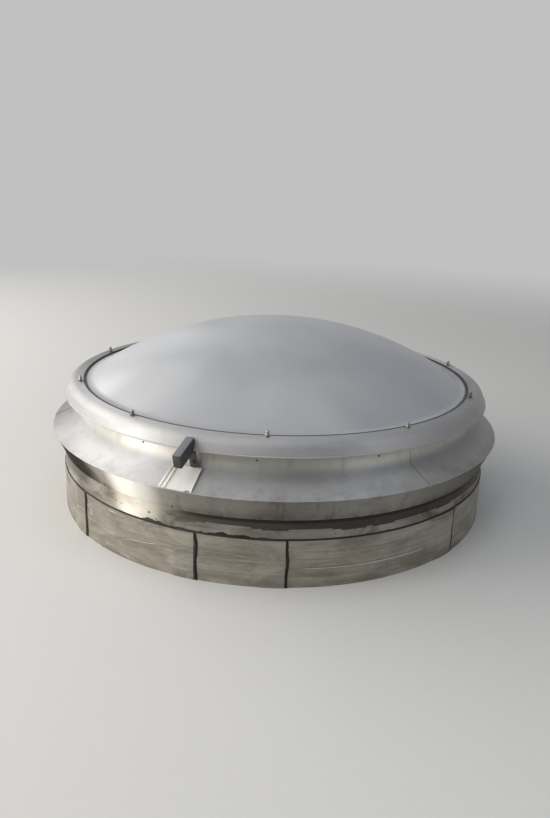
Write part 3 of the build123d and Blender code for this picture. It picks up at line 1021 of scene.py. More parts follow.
def hand_in(piece: Piece, name: str, finish: Finish, *nodes: str) -> None:
    """Name and dress a finished piece, attach it to the root body and hide the nodes it stands for.

    Args:
        piece: The object.
        name: Its name.
        finish: Its finish.
        nodes: The nodes that it stands for.
    """
    piece.name = name
    piece.data.name = name
    piece.data.use_auto_texspace = False
    piece.data.texspace_location = (0.0, 0.0, 0.0)
    piece.data.texspace_size = TEXTURE_SIZE
    piece.data.materials.clear()
    piece.data.materials.append(finish.material())
    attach(piece, "root")
    if nodes:
        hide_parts(*nodes)
    log.info("%s: %d faces, for %s", name, len(piece.data.polygons), ", ".join(nodes) or "no node")


# Sub-assemblies


@dataclass(frozen=True)
class SheetLine:
    """Outer line of the apron and the skirt, as radius and height."""

    neck_top: Vector = field(default_factory=lambda: Vector((1.019, 0.6192)))
    kink: Vector = field(default_factory=lambda: Vector((1.041, 0.486)))
    edge: Vector = field(default_factory=lambda: Vector((1.1698, 0.4231)))
    foot: Vector = field(default_factory=lambda: Vector((1.1222, 0.316)))
    flange: float = 0.022
    wall: float = 1.117
    thickness: float = 0.0012
    gap: float = 0.0003

    def down(self) -> Vector:
        """Direction down the cone."""
        return (self.edge - self.kink).normalized()

    def apron_loop(self, lift: float, soft: float) -> list[Vector]:
        """Closed section of the apron, shaded softly on both sides of its kink.

        Args:
            lift: Distance of the section above the apron's outside.
            soft: Width of the softly shaded strip on each side of the kink.

        Returns:
            The section's points, ending where they start.
        """
        above = self.kink + (self.neck_top - self.kink).normalized() * soft
        below = self.kink + self.down() * soft
        outside = beside([self.neck_top, above, self.kink, below, self.edge], -lift)
        return shell(outside, beside(outside, self.thickness))

    def skirt(self) -> list[Vector]:
        """Outside of the skirt, with its flange under the cone and its return to the wall.

        Returns:
            The outside's corners.
        """
        line = [self.edge - self.down() * self.flange, self.edge, self.foot]
        line = beside(line, self.thickness + self.gap)
        return line + [Vector((self.wall + self.gap, line[-1].y))]


@dataclass(frozen=True)
class Dome:
    """Outer dome: a shallow blown cap that runs through a hollow bend into a flat flange."""

    spring_radius: float = 0.975
    edge_radius: float = 1.044
    bottom: float = 0.6425
    thickness: float = 0.004
    rise: float = 0.289
    bend: float = 0.060
    cap_steps: int = 56
    bend_steps: int = 8
    finish: Finish = OpalAcrylic("opal_acrylic_outer", "opal_acrylic")

    def _skin(self, top: float, bend: float) -> list[Vector]:
        """Line of one side of the skin, from the pole to the flange's edge.

        Args:
            top: Height of the flange's side.
            bend: Radius of the hollow bend.

        Returns:
            Points as radius and height.
        """
        sphere = (self.spring_radius**2 + self.rise**2) / (2 * self.rise)
        centre = Vector((0.0, top + self.rise - sphere))
        lift = top + bend - centre.y
        middle = Vector((sqrt((sphere + bend) ** 2 - lift**2), top + bend))
        touch = atan2(middle.x - centre.x, middle.y - centre.y)
        steps = range(self.cap_steps + 1)
        cap = [centre + spoke(touch * step / self.cap_steps) * sphere for step in steps]
        steps = range(1, self.bend_steps + 1)
        hollow = [middle + spoke(pi + touch * (1 - step / self.bend_steps)) * bend for step in steps]
        return cap + hollow + [Vector((self.edge_radius, top))]

    def build(self) -> None:
        """Model the outer dome."""
        outside = self._skin(self.bottom + self.thickness, self.bend)
        inside = self._skin(self.bottom, self.bend + self.thickness)
        piece = smooth(turned(outside + inside[::-1]), 50.0)
        hand_in(piece, "outer_dome_skin", self.finish, "outer_dome")


@dataclass(frozen=True)
class ClampRing:
    """Rounded clamp ring with an out-turned lip, notched round the bracket."""

    inner_radius: float = 1.013
    crown_radius: float = 1.080
    foot_radius: float = 1.100
    top: float = 0.6515
    drop: float = 0.060
    bend: float = 0.047
    bend_steps: int = 16
    thickness: float = 0.003
    lip: float = 0.005
    lip_drop: float = 0.0025
    lip_turn: tuple[float, float] = (0.5, 0.2)
    lip_back: tuple[float, float] = (0.4, 0.8)
    notch_azimuth: float = -129.4
    notch_size: Triple = (0.05, 0.038, 0.12)
    notch_reach: float = 0.013
    notch_drop: float = 0.05
    finish: Finish = RolledAluminium(
        "clamp_ring_aluminium", "rim_aluminium", tone=(0.355, 0.355, 0.36), mottle_and_reflection_tone=(0.285, 0.29, 0.305),
        roughness=0.58, brushing=0.65, waviness=0.0006,
    )

    def build(self) -> None:
        """Model the clamp ring."""
        foot = Vector((self.foot_radius, self.top - self.drop))
        line = [*corners((self.inner_radius, self.top), (self.crown_radius, self.top)), foot]
        outside = rounded(line, self.bend, self.bend_steps)
        inside = rounded(beside(line, self.thickness), self.bend - self.thickness, self.bend_steps)
        turns = corners(
            (self.lip * self.lip_turn[0], -self.lip_drop * self.lip_turn[1]),
            (self.lip, -self.lip_drop),
            (self.lip, -self.lip_drop - self.thickness * self.lip_back[1]),
            (self.lip * self.lip_back[0], -self.lip_drop - self.thickness),
        )
        piece = turned(shell(outside + [foot + turn for turn in turns], inside))
        azimuth = self.notch_azimuth
        middle = around(self.foot_radius + self.notch_reach, azimuth, self.top - self.notch_drop)
        cut(piece, block(self.notch_size, place=standing(middle, around(1.0, azimuth), UP)))
        hand_in(smooth(piece, 40.0), "clamp_ring_shell", self.finish, "clamp_ring")


@dataclass(frozen=True)
class GasketLip:
    """Rubber lip of the upper gasket, which closes the joint between the dome and the clamp ring."""

    outer_radius: float = 1.0127
    width: float = 0.009
    seat: float = 0.6468
    height: float = 0.0055
    bend: float = 0.0012
    bend_steps: int = 3
    finish: Finish = SoftSolid(
        "gasket_lip_rubber", "gasket_rubber", tone=(0.022, 0.022, 0.023), deep_tone=(0.012, 0.012, 0.012),
        scale=150.0, depth=0.0002, roughness=0.55,
    )

    def build(self) -> None:
        """Model the lip with its rounded top."""
        inner, outer, top = self.outer_radius - self.width, self.outer_radius, self.seat + self.height
        line = corners((inner, self.seat), (outer, self.seat), (outer, top), (inner, top), (inner, self.seat))
        piece = turned(rounded(line, self.bend, self.bend_steps))
        hand_in(smooth(piece, 50.0), "gasket_lip", self.finish)


@dataclass(frozen=True)
class DomeNuts:
    """Cap nuts and sealing washers round the clamp ring."""

    count: int = 10
    first_azimuth: float = -112.5
    circle_radius: float = 1.028
    seat: float = 0.6515
    across_flats: float = 0.016
    base_height: float = 0.010
    height: float = 0.025
    cap_setback: float = 0.0004
    cap_steps: int = 6
    cap_overlap: float = 0.001
    nut_bevel: float = 0.0007
    cap_sides: int = 20
    washer_radius: float = 0.012
    washer_thickness: float = 0.004
    washer_bevel: float = 0.0012
    washer_sides: int = 28
    seed: int = 11
    nut_finish: Finish = BareMetal(
        "cap_nut_steel", "fastener_steel", tone=(0.30, 0.292, 0.275), dull_tone=(0.09, 0.086, 0.078),
        roughness=0.34,
    )
    washer_finish: Finish = BareMetal(
        "washer_steel", "fastener_steel", tone=(0.22, 0.215, 0.2), dull_tone=(0.07, 0.068, 0.064)
    )

    def _nut(self) -> Piece:
        """Model one cap nut: a chamfered hexagon and a domed cap.

        Returns:
            The nut.
        """
        corner = self.across_flats / sqrt(3)
        base = prism(HEXAGON, corner, self.base_height, self.nut_bevel, base=self.washer_thickness)
        radius = self.across_flats / 2 - self.cap_setback
        shoulder = self.washer_thickness + self.base_height - self.cap_overlap
        crown = self.washer_thickness + self.height
        line = [Vector((0.0, crown))]
        for step in range(1, self.cap_steps + 1):
            angle = pi / 2 * step / self.cap_steps
            line.append(Vector((radius * sin(angle), crown - radius * (1 - cos(angle)))))
        line += corners((radius, shoulder), (0.0, shoulder))
        return joined([base, turned(line, steps=self.cap_sides)])

    def build(self) -> None:
        """Model and place the washers and the nuts."""
        thickness = self.washer_thickness
        washer = prism(self.washer_sides, self.washer_radius, thickness, self.washer_bevel, 3)
        for name, made, finish, node in (
            ("washer_set", washer, self.washer_finish, "sealing_washers"),
            ("cap_nut_set", self._nut(), self.nut_finish, "cap_nuts"),
        ):
            rng = Random(self.seed)
            places = []
            for number in range(self.count):
                azimuth = self.first_azimuth + number * FULL_TURN / self.count
                turn = Matrix.Rotation(radians(rng.uniform(0, FULL_TURN / HEXAGON)), 4, "Z")
                places.append(Matrix.Translation(around(self.circle_radius, azimuth, self.seat)) @ turn)
            hand_in(repeated(smooth(made, 40.0), places), name, finish, node)


@dataclass(frozen=True)
class Apron:
    """Apron of neck and cone, in three lengths, each lapped over the next."""

    line: SheetLine
    joints: tuple[float, ...] = (-75.0, 45.0, 165.0)
    soft: float = 0.045
    lap: float = 0.045
    lap_root: float = 0.004
    joint_gap: float = 0.001
    # Its finish carries a painted warm reflection on the neck, and its mottle is partly painted sky
    # reflection.
    finish: Finish = RolledAluminium(
        "apron_sheet_aluminium", "apron_aluminium", tone=(0.48, 0.48, 0.48), mottle_and_reflection_tone=(0.30, 0.31, 0.34),
        mottle_and_reflection_share=0.7, waviness=0.002, grime_low=0.425, grime_high=0.46, grime_share=0.2,
        upper_painted_reflection_tone=(0.80, 0.775, 0.71), upper_painted_reflection_share=0.9,
    )

    def _length(self, start: float, end: float) -> Piece:
        """Model one length with its raised lap.

        Args:
            start: Azimuth of its start.
            end: Azimuth of the next length's start.

        Returns:
            The length.
        """
        gap, root, lap = (
            angle_of(length, self.line.edge.x) for length in (self.joint_gap, self.lap_root, self.lap)
        )
        lift = self.line.thickness + self.line.gap
        strips = []
        for rise, first, last in (
            (0.0, start + gap, end),
            (lift - self.line.gap, end - root, end),
            (lift, end - root, end + lap),
        ):
            strips.append(turned(self.line.apron_loop(rise, self.soft), first, last - first))
        return joined(strips)

    def build(self) -> None:
        """Model the apron's lengths."""
        for number, start, end in lengths(self.joints):
            piece = smooth(self._length(start, end), 60.0)
            hand_in(piece, f"apron_length_{number}", self.finish, f"apron_segment_{number}")


@dataclass(frozen=True)
class Skirt:
    """Skirt under the apron's edge, in three long lengths and a short closing piece."""

    line: SheetLine
    closing_azimuth: float = -108.6
    closing_span: float = 10.6
    long_pieces: int = 3
    joint_gap: float = 0.001
    bend_steps: int = 3
    # Its finish carries painted shade and dark reflection at one side, and a painted highlight strip.
    finish: Finish = RolledAluminium(
        "skirt_sheet_aluminium", "skirt_aluminium", tone=(0.29, 0.276, 0.25), mottle_and_reflection_tone=(0.14, 0.13, 0.114),
        mottle_and_reflection_share=0.8, run_share=0.5, waviness=0.0016, grime_low=0.315, grime_high=0.36, grime_share=0.6,
        painted_shade_azimuth=PAINTED_SHADE_AZIMUTH, painted_shade_share=0.82, painted_shade_gloss=0.16,
        painted_highlight_azimuth=PAINTED_HIGHLIGHT_AZIMUTH, painted_highlight_share=0.7, roughness=0.5, edge_tint=(0.3, 0.28, 0.25),
    )

    def build(self) -> None:
        """Model the skirt's pieces."""
        gap = angle_of(self.joint_gap, self.line.edge.x)
        long_span = (FULL_TURN - self.closing_span) / self.long_pieces
        first = self.closing_azimuth + self.closing_span
        starts = [self.closing_azimuth] + [first + long_span * turn for turn in range(self.long_pieces)]
        thickness = self.line.thickness
        outside = rounded(self.line.skirt(), thickness, self.bend_steps)
        inside = rounded(beside(self.line.skirt(), thickness), thickness, self.bend_steps)
        for number, start, end in lengths(starts):
            piece = smooth(turned(shell(outside, inside), start + gap, end - start - gap), 30.0)
            hand_in(piece, f"skirt_piece_{number}", self.finish, f"skirt_segment_{number}")


@dataclass(frozen=True)
class BareWall:
    """Outer wall of the kerb, bare between the membrane and the skirt."""

    radius: float = 1.117
    thickness: float = 0.0015
    levels: tuple[float, ...] = (0.006, 0.22, 0.25, 0.28, 0.31, 0.346)
    finish: Finish = StainedSheet("stained_wall_sheet", "weathered_sheet")

    def build(self) -> None:
        """Model the wall as a rolled sheet."""
        outside = corners(*((self.radius, level) for level in self.levels))
        inner = self.radius - self.thickness
        inside = corners((inner, self.levels[0]), (inner, self.levels[-1]))
        piece = smooth(turned(shell(outside, inside)), 40.0)
        hand_in(piece, "outer_wall_sheet", self.finish, "kerb_outer_wall")


@dataclass(frozen=True)
class Membrane:
    """Foil-faced membrane sheets round the kerb, with bitumen at their laps and along their top."""

    seams: tuple[float, ...] = (-162.6, -127.9, -107.6, -62.0, -22.0, 20.0, 62.0, 104.0, 150.0)
    inner_radius: float = 1.1178
    thickness: float = 0.004
    lap_lift: float = 0.0048
    height: float = 0.222
    levels: int = 24
    lap: float = 0.080
    joggle: float = 0.060
    ramp_steps: int = 6
    lap_steps: int = 6
    bead_width: float = 0.017
    bead_depth: float = 0.004
    bead_gap: float = 0.0003
    bead_sway: float = 0.0026
    bead_jitter: float = 0.0009
    bead_wave: float = 0.55
    bead_phase: float = 1.7
    bead_lean: float = 0.004
    lean_start: float = 0.9
    lean_span: float = 0.1
    least_width: float = 0.74
    spare_width: float = 0.28
    bead_levels: int = 16
    bead_sides: int = 9
    seed: int = 40
    top_bead: float = 0.007
    top_slope: tuple[tuple[float, float], ...] = ((0.0006, 0.45), (0.0022, 0.8))
    finish: Finish = FoilMembrane("foil_membrane_sheet", "foil_membrane")
    bead_finish: Finish = Bitumen("bitumen_bead", "bitumen")

    def _outer(self) -> float:
        """Radius of the sheets' outside."""
        return self.inner_radius + self.thickness

    def _ramp(self, step: int) -> float:
        """Share of the lap's lift that is reached after a step of the joggle."""
        return (1 - cos(pi * step / self.ramp_steps)) / 2

    def _sheet(self, start: float, end: float) -> Piece:
        """Model one sheet that starts under its neighbour and ends on top of the next.

        Args:
            start: Azimuth of its own seam.
            end: Azimuth of the next seam.

        Returns:
            The sheet.
        """
        outer = self._outer()
        lap, joggle = angle_of(self.lap, outer), angle_of(self.joggle, outer)
        first = start - lap
        flat = end - angle_of(self.lap + self.joggle, outer) - first
        outside = corners(*((outer, self.height * step / self.levels) for step in range(self.levels + 1)))
        inside = corners((self.inner_radius, 0.0), (self.inner_radius, self.height))
        piece = trace(around(point.x, first, point.y) for point in shell(outside, inside))
        bpy.ops.mesh.select_all(action="SELECT")
        spin(flat, max(12, round(flat)))
        for step in range(self.ramp_steps):
            spin(joggle / self.ramp_steps, 1)
            rise = self._ramp(step + 1) - self._ramp(step)
            here = first + flat + joggle * (step + 1) / self.ramp_steps
            bpy.ops.transform.translate(value=around(self.lap_lift * rise, here))
        spin(lap, self.lap_steps)
        return close_up(piece, holes=True)

    def _columns(self, number: int) -> list[tuple[float, float, float]]:
        """Height, sideways lean and width of a seam's bead, level by level.

        Args:
            number: Number of the seam, which varies the bead.

        Returns:
            The bead's levels, from its foot up.
        """
        rng = Random(self.seed + number)
        levels = []
        for step in range(self.bead_levels + 1):
            share = step / self.bead_levels
            lean = self.bead_sway * sin(self.bead_wave * step + self.bead_phase * number)
            lean += rng.uniform(-self.bead_jitter, self.bead_jitter)
            lean -= self.bead_lean * max(0.0, share - self.lean_start) / self.lean_span
            width = self.bead_width * (self.least_width + self.spare_width * rng.random())
            levels.append((self.height * step / self.bead_levels, lean, width))
        return levels

    def _bead(self, seam: float, number: int) -> Piece:
        """Model the wavy bitumen bead at one seam.

        Args:
            seam: Azimuth of the seam.
            number: Number of the seam.

        Returns:
            The bead.
        """
        outer = self._outer()
        span = degrees(1.0 / outer)
        columns = self._columns(number)
        lean, width = columns[0][1:]
        middle = seam + self.bead_width / 2 * span
        section = []
        for side in range(self.bead_sides + 1):
            share = side / self.bead_sides
            lift = self.bead_gap + self.bead_depth * sin(pi * share) ** 0.6
            point = Vector((outer + lift, (share - 0.5) * width))
            section.append(around(point.x, middle + (point.y + lean) * span))
        piece = trace(section + [section[0]])
        bpy.ops.mesh.select_all(action="SELECT")
        bpy.ops.mesh.remove_doubles(threshold=WELD)
        out, side_way = around(1.0, middle), around(1.0, middle + 90.0)
        turn = Matrix((out, side_way, UP)).transposed()
        for before, after in zip(columns, columns[1:]):
            move = UP * (after[0] - before[0]) + side_way * (after[1] - before[1])
            bpy.ops.mesh.extrude_region_move(TRANSFORM_OT_translate={"value": move})
            grow = (1.0, after[2] / before[2], 1.0)
            bpy.ops.transform.resize(value=grow, orient_matrix=turn, orient_type="GLOBAL")
        return close_up(piece, holes=True)

    def build(self) -> None:
        """Model the sheets, their beads and the top line."""
        for number, start, end in lengths(self.seams):
            piece = smooth(self._sheet(start, end), 30.0)
            hand_in(piece, f"foil_sheet_{number}", self.finish, f"membrane_sheet_{number}")
        beads = joined([self._bead(seam, number) for number, seam in enumerate(self.seams)])
        hand_in(smooth(beads, 60.0), "seam_bead_set", self.bead_finish, "membrane_seam_beads")
        outer = self._outer()
        line = corners(
            (self.inner_radius, self.height),
            (outer, self.height),
            *((outer - setback, self.height + self.top_bead * share) for setback, share in self.top_slope),
            (self.inner_radius, self.height + self.top_bead),
            (self.inner_radius, self.height),
        )
        hand_in(smooth(turned(line), 60.0), "top_line_bead", self.bead_finish, "membrane_top_bead")


@dataclass(frozen=True)
class SheetScrews:
    """Screws round the neck and near the skirt's foot."""

    line: SheetLine
    neck_count: int = 12
    neck_azimuth: float = -114.7
    neck_depth: float = 0.075
    neck_shank: float = 0.0024
    neck_length: float = 0.025
    skirt_count: int = 18
    skirt_azimuth: float = -113.0
    skirt_rise: float = 0.015
    skirt_shank: float = 0.002
    skirt_length: float = 0.010
    head_radius: float = 0.005
    head_height: float = 0.003
    head_share: float = 0.72
    head_bevel: float = 0.0004
    flange_height: float = 0.0014
    flange_edge: float = 0.0006
    flange_top: float = 0.8
    sides: int = 18
    finish: Finish = BareMetal(
        "screw_steel", "fastener_steel", tone=(0.2, 0.19, 0.175), dull_tone=(0.07, 0.062, 0.052)
    )

    def _screw(self, shank_radius: float, length: float) -> Piece:
        """Model one screw with a hexagon head on a flange.

        Args:
            shank_radius: Radius of the shank.
            length: Length of the shank under the head.

        Returns:
            The screw, its head's seat at the origin.
        """
        flange = corners(
            (0.0, self.flange_height),
            (self.head_radius * self.flange_top, self.flange_height),
            (self.head_radius, self.flange_edge),
            (self.head_radius, 0.0),
            (shank_radius, 0.0),
            (shank_radius, -length + shank_radius),
            (0.0, -length),
        )
        body = turned(flange, steps=self.sides)
        corner = self.head_radius * self.head_share
        return joined([body, prism(HEXAGON, corner, self.head_height, self.head_bevel)])

    def build(self) -> None:
        """Model and place the screws."""
        skirt = self.line.skirt()
        depth = (skirt[2] - skirt[1]).length - self.skirt_rise
        neck_screw = self._screw(self.neck_shank, self.neck_length)
        skirt_screw = self._screw(self.skirt_shank, self.skirt_length)
        for name, made, count, first, upper, lower, along in (
            ("neck_screw", neck_screw, self.neck_count, self.neck_azimuth, self.line.neck_top,
             self.line.kink, self.neck_depth),
            ("skirt_screw", skirt_screw, self.skirt_count, self.skirt_azimuth, skirt[1], skirt[2], depth),
        ):
            azimuths = [first + number * FULL_TURN / count for number in range(count)]
            places = [on_slope(upper, lower, along, azimuth) for azimuth in azimuths]
            hand_in(repeated(smooth(made, 40.0), places), f"{name}_set", self.finish, f"{name}s")


@dataclass(frozen=True)
class SideBracket:
    """Fixed bracket at the side: a channel arm, a leg, its bolt and the bright plate under it."""

    line: SheetLine
    azimuth: float = -129.4
    tilt: float = 16.0
    root_radius: float = 1.098
    root_height: float = 0.641
    arm_length: float = 0.134
    arm_height: float = 0.060
    arm_width: float = 0.036
    arm_wall: float = 0.003
    arm_bevel: float = 0.0010
    leg_thickness: float = 0.006
    leg_length: float = 0.1565
    leg_corner: float = 0.009
    leg_bevel: float = 0.0012
    bolt_drop: float = 0.1255
    bolt_radius: float = 0.004
    bolt_head: float = 0.013
    bolt_head_height: float = 0.0053
    bolt_length: float = 0.0165
    bolt_chamfer: float = 0.0008
    bolt_bevel: float = 0.0007
    bolt_root: float = 0.001
    bolt_sides: int = 24
    tab_width: float = 0.032
    tab_drop: float = 0.16154
    tab_margin: float = 0.014
    tab_bevel: float = 0.0005
    plate_thickness: float = 0.002
    plate_start: float = 0.00244
    plate_end: float = 0.14056
    plate_left: float = -135.0
    plate_margin: float = 0.034
    plate_steps: int = 14
    rib_count: int = 2
    rib_height: float = 0.005
    rib_width: float = 0.007
    rib_pitch: float = 0.020
    rib_bevel: float = 0.0009
    rib_steps: int = 3
    notch: float = 0.012
    notch_depth: float = 0.02
    arm_finish: Finish = PaintedSteel("bracket_dark_paint", "bracket_steel")
    bolt_finish: Finish = BareMetal(
        "bracket_bolt_steel", "fastener_steel", tone=(0.04, 0.036, 0.032), dull_tone=(0.018, 0.016, 0.014),
        roughness=0.45, metallic=0.4,
    )
    plate_finish: Finish = RolledAluminium(
        "bright_plate_aluminium", "bright_plate", tone=(0.74, 0.73, 0.70), mottle_and_reflection_tone=(0.58, 0.57, 0.54),
        roughness=0.42, metallic=0.4, brushing=0.2, mottle_and_reflection_share=0.3, run_share=0.25, waviness=0.0008,
    )

    def frame(self) -> Matrix:
        """Frame of the bracket, with its origin at the arm's root.

        Returns:
            The frame's matrix: x along the arm, y square to it and upwards, z along its width.
        """
        tilt = radians(self.tilt)
        arm = around(cos(tilt), self.azimuth, -sin(tilt))
        root = around(self.root_radius, self.azimuth, self.root_height)
        return standing(root, arm, around(1.0, self.azimuth - 90.0))

    def _arm(self) -> Piece:
        """Model the channel arm, hollow from below, and its leg.

        Returns:
            The arm in the bracket's frame.
        """
        arm = block(
            (self.arm_length, self.arm_height, self.arm_width), (self.arm_length / 2, -self.arm_height / 2, 0)
        )
        bpy.ops.object.mode_set(mode="EDIT")
        mesh = bmesh.from_edit_mesh(arm.data)
        for face in mesh.faces:
            face.select = face.normal.y < -0.9
        mesh.select_flush_mode()
        bmesh.update_edit_mesh(arm.data)
        bpy.ops.mesh.inset(thickness=self.arm_wall)
        hollow = (0, self.arm_height - self.arm_wall, 0)
        bpy.ops.mesh.extrude_region_move(TRANSFORM_OT_translate={"value": hollow})
        bpy.ops.mesh.select_all(action="SELECT")
        bpy.ops.mesh.normals_make_consistent(inside=False)
        bpy.ops.object.mode_set(mode="OBJECT")
        bevelled(arm, self.arm_bevel, 3)
        leg = block(
            (self.leg_thickness, self.leg_length, self.arm_width),
            (-self.leg_thickness / 2, -self.leg_length / 2, 0),
        )
        bpy.ops.object.mode_set(mode="EDIT")
        mesh = bmesh.from_edit_mesh(leg.data)
        for edge in mesh.edges:
            low = all(vertex.co.y < -self.leg_length * 0.9 for vertex in edge.verts)
            edge.select = low and abs((edge.verts[0].co - edge.verts[1].co).x) > self.leg_thickness * 0.5
        bmesh.update_edit_mesh(leg.data)
        bpy.ops.mesh.bevel(offset=self.leg_corner, segments=6)
        bpy.ops.object.mode_set(mode="OBJECT")
        return joined([arm, bevelled(leg, self.leg_bevel)])

    def _bolt(self) -> Piece:
        """Model the bolt through the leg, its head outwards.

        Returns:
            The bolt along z, its seat at the origin.
        """
        head = prism(HEXAGON, self.bolt_head / sqrt(3), self.bolt_head_height, self.bolt_bevel)
        shank = corners(
            (0.0, self.bolt_root),
            (self.bolt_radius, self.bolt_root),
            (self.bolt_radius, -self.bolt_length + self.bolt_chamfer),
            (self.bolt_radius - self.bolt_chamfer, -self.bolt_length),
            (0.0, -self.bolt_length),
        )
        return joined([head, turned(shank, steps=self.bolt_sides)])

    def _plate(self) -> Piece:
        """Model the plate on the cone with its ribs, raised edge, notch and tab.

        Returns:
            The plate in place.
        """
        kink, edge, down = self.line.kink, self.line.edge, self.line.down()
        lift = 2 * (self.line.thickness + self.line.gap)
        origin = beside([kink, edge], -lift - self.plate_thickness)[0]
        upper, lower = origin + down * self.plate_start, origin + down * self.plate_end
        span = degrees(1.0 / kink.x)
        right = self.azimuth + self.plate_margin * span
        section = shell([upper, lower], beside([upper, lower], self.plate_thickness))
        sheet = turned(section, self.plate_left, right - self.plate_left, self.plate_steps)
        corner = lower - down * self.notch / 2
        along = (corner - upper).length + self.notch / 2
        place = on_slope(upper, lower, along, right - self.notch * 1.3 * span)
        cut(sheet, block((self.notch * 1.6, self.notch * 1.2, self.notch_depth), place=place))
        parts = [sheet]
        ribs = [self.plate_left + self.rib_pitch * span * number for number in range(self.rib_count)]
        bars = [(azimuth, self.rib_width * span) for azimuth in ribs]
        bars.append((right - self.plate_thickness * span, self.plate_thickness * span))
        for azimuth, width in bars:
            short = lower - down * (self.notch if azimuth > self.azimuth else 0.0)
            over = beside([upper, short], -self.rib_height)
            bar = turned(shell(over, [upper, short]), azimuth, width, self.rib_steps)
            parts.append(bevelled(bar, self.rib_bevel))
        height = self.tab_drop - self.bolt_drop + self.tab_margin
        tab = block(
            (self.plate_thickness, height, self.tab_width),
            (-self.leg_thickness - self.plate_thickness / 2, -self.tab_drop + height / 2, 0),
            self.frame(),
        )
        return joined([*parts, bevelled(tab, self.tab_bevel)])

    def build(self) -> None:
        """Model the bracket, its bolt and its plate."""
        place = self.frame()
        arm = smooth(settle(self._arm(), place), 35.0)
        hand_in(arm, "bracket_arm", self.arm_finish, "side_bracket")
        out, width = (place.to_3x3() @ Vector(way) for way in ((1, 0, 0), (0, 0, 1)))
        seat = place @ Vector((0, -self.bolt_drop, 0))
        bolt = smooth(settle(self._bolt(), standing(seat, width, out)), 35.0)
        hand_in(bolt, "bracket_bolt_dark", self.bolt_finish, "bracket_bolt")
        hand_in(smooth(self._plate(), 35.0), "bracket_plate_sheet", self.plate_finish, "bracket_plate")


@dataclass(frozen=True)
class HiddenParts:
    """Nodes of the frame that stay as they are and get a finish of their own."""

    steel: Finish = BareMetal(
        "galvanised_kerb_steel", "galvanised_steel", tone=(0.5, 0.51, 0.52), dull_tone=(0.34, 0.35, 0.36),
        scale=14.0, roughness=0.4,
    )
    bolt_steel: Finish = BareMetal("clamp_bolt_steel", "fastener_steel", scale=60.0)
    foam: Finish = SoftSolid("rigid_foam", "insulation")
    rubber: Finish = SoftSolid(
        "gasket_rubber_black", "gasket_rubber", tone=(0.03, 0.03, 0.03), deep_tone=(0.016, 0.016, 0.016),
        scale=150.0, depth=0.0002, roughness=0.6,
    )
    inner_skin: Finish = OpalAcrylic(
        "inner_acrylic_skin", "inner_acrylic", tone=(0.62, 0.63, 0.64), film_tone=(0.7, 0.7, 0.7)
    )

    def build(self) -> None:
        """Dress the nodes that are seen only from below or through gaps."""
        dressed = {
            self.steel: ("foot_ring", "kerb_inner_wall", "top_ring"),
            self.bolt_steel: ("dome_bolts", "bracket_nut"),
            self.foam: ("core_lower", "core_middle", "core_upper"),
            self.rubber: ("lower_gasket", "spacer_ring", "upper_gasket"),
            self.inner_skin: ("inner_dome",),
        }
        for finish, names in dressed.items():
            for name in names:
                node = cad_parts[name]
                if not node.data.materials:
                    node.data.materials.append(finish.material())
                for slot in node.material_slots:
                    slot.material = finish.material()
                log.info("%s: dressed with %s", name, finish.name)


@dataclass(frozen=True)
class Lamp:
    """Soft rectangular lamp that faces the object."""

    name: str
    azimuth: float
    elevation: float
    distance: float
    width: float
    height: float
    power: float
    colour: Rgb
    aim: Triple = (0.0, 0.0, 0.45)

    def build(self) -> None:
        """Add the lamp."""
        data = bpy.data.lights.new(self.name, "AREA")
        data.shape = "RECTANGLE"
        data.size, data.size_y = self.width, self.height
        data.energy = self.power
        data.color = self.colour
        lamp = bpy.data.objects.new(self.name, data)
        tilt = radians(self.elevation)
        out = around(cos(tilt), self.azimuth, sin(tilt))
        lamp.location = Vector(self.aim) + out * self.distance
        lamp.rotation_euler = (-out).to_track_quat("-Z", "Y").to_euler()
        bpy.context.scene.collection.objects.link(lamp)
        log.info("%s: lamp", self.name)


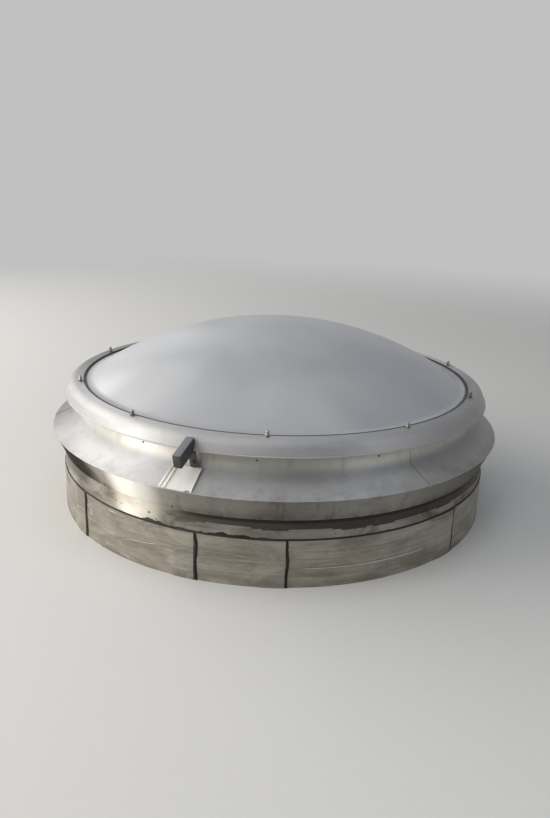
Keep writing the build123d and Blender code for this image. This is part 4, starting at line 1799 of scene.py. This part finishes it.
@dataclass(frozen=True)
class Studio:
    """Pale floor and background, soft lamps and the camera."""

    backdrop: Rgb = (0.53, 0.53, 0.53)
    floor: Rgb = (0.55, 0.545, 0.535)
    floor_shade: float = 0.96
    floor_radius: float = 60.0
    fade: tuple[float, float] = (3.0, 11.0)
    ambient: Rgb = (0.80, 0.84, 0.90)
    ambient_strength: float = 0.30
    camera_place: Triple = (-1.45, -3.79, 1.74)
    camera_aim: Triple = (0.0, 0.0, 0.445)
    camera_lens: float = 34.2
    camera_roll: float = 2.0
    sensor: float = 36.0
    picture: tuple[int, int] = (550, 818)
    lamps: tuple[Lamp, ...] = (
        Lamp("key_lamp", 155.0, 26.0, 9.0, 17.5, 5.8, 1420.0, (1.0, 0.965, 0.90)),
        Lamp("low_lamp", 178.0, 4.0, 9.0, 1.8, 1.8, 300.0, (1.0, 0.96, 0.89)),
        Lamp("side_lamp", 225.0, 40.0, 6.0, 1.8, 2.0, 46.0, (1.0, 0.98, 0.94)),
        Lamp("sky_lamp", 108.0, 18.0, 9.0, 8.0, 3.2, 56.0, (0.97, 0.98, 1.0)),
        Lamp("front_lamp", -60.0, 25.0, 7.0, 4.0, 3.0, 64.0, (0.93, 0.96, 1.0)),
        Lamp("top_lamp", -90.0, 80.0, 6.0, 4.0, 4.0, 76.0, (0.92, 0.96, 1.0)),
    )

    def _seen(self, board: Board) -> Signal:
        """1 for rays that show the background: from the camera, a reflection or a transmission."""
        rays = [board.add("ShaderNodeLightPath", output=ray.value) for ray in Ray]
        return (rays[0] + rays[1] + rays[2]).least(1.0)

    def _world(self) -> None:
        """Light the scene softly from all round, and show a plain pale background."""
        world = bpy.data.worlds.new("studio_world")
        bpy.context.scene.world = world
        world.use_nodes = True
        board = Board(world.node_tree)
        light = tuple(part * self.ambient_strength for part in self.ambient)
        colour = board.blend(self._seen(board), light, self.backdrop)
        board.show(board.add("ShaderNodeBackground", {}, {"Color": colour, "Strength": 1.0}), "World")

    def _floor(self) -> None:
        """Lay the floor, which fades into the background far away."""
        floor = fresh("circle", vertices=64, radius=self.floor_radius, fill_type="NGON")
        floor.name = "studio_floor"
        material = bpy.data.materials.new("studio_floor_pale")
        material.use_nodes = True
        board = Board(material.node_tree)
        shade = tuple(part * self.floor_shade for part in self.floor)
        colour = board.blend(board.noise(30.0, detail=3.0), self.floor, shade)
        matt = {"Base Color": colour, "Roughness": 0.85, "Specular IOR Level": 0.2}
        near = board.add("ShaderNodeBsdfPrincipled", {}, matt)
        far = board.add("ShaderNodeEmission", {}, {"Color": self.backdrop, "Strength": 1.0})
        share = board.reach().ramp(*self.fade) * self._seen(board)
        board.show(board.add("ShaderNodeMixShader", {}, {0: share, 1: near, 2: far}))
        floor.data.materials.append(material)

    def _camera(self) -> None:
        """Set the camera at the viewing angle, rolled a little."""
        data = bpy.data.cameras.new("main_camera")
        data.sensor_fit = "VERTICAL"
        data.sensor_height = self.sensor
        data.sensor_width = self.sensor * self.picture[0] / self.picture[1]
        data.lens = self.camera_lens
        data.clip_end = 200.0
        camera = bpy.data.objects.new("main_camera", data)
        way = Vector(self.camera_aim) - Vector(self.camera_place)
        roll = Quaternion((0, 0, 1), radians(self.camera_roll))
        camera.rotation_mode = "QUATERNION"
        camera.rotation_quaternion = way.to_track_quat("-Z", "Y") @ roll
        camera.location = self.camera_place
        bpy.context.scene.collection.objects.link(camera)
        bpy.context.scene.camera = camera

    def build(self) -> None:
        """Build the studio."""
        bpy.context.scene.view_settings.view_transform = "Standard"
        self._camera()
        self._world()
        self._floor()
        for lamp in self.lamps:
            lamp.build()


def main() -> None:
    """Build the studio and every sub-assembly."""
    logging.basicConfig(level=logging.INFO, format="%(name)s: %(message)s")
    line = SheetLine()
    Studio().build()
    for assembly in (
        BareWall(),
        Membrane(),
        Skirt(line),
        Apron(line),
        SheetScrews(line),
        Dome(),
        ClampRing(),
        GasketLip(),
        DomeNuts(),
        SideBracket(line),
        HiddenParts(),
    ):
        assembly.build()
        log.info("%s: done", type(assembly).__name__)


if __name__ == "__main__":
    main()
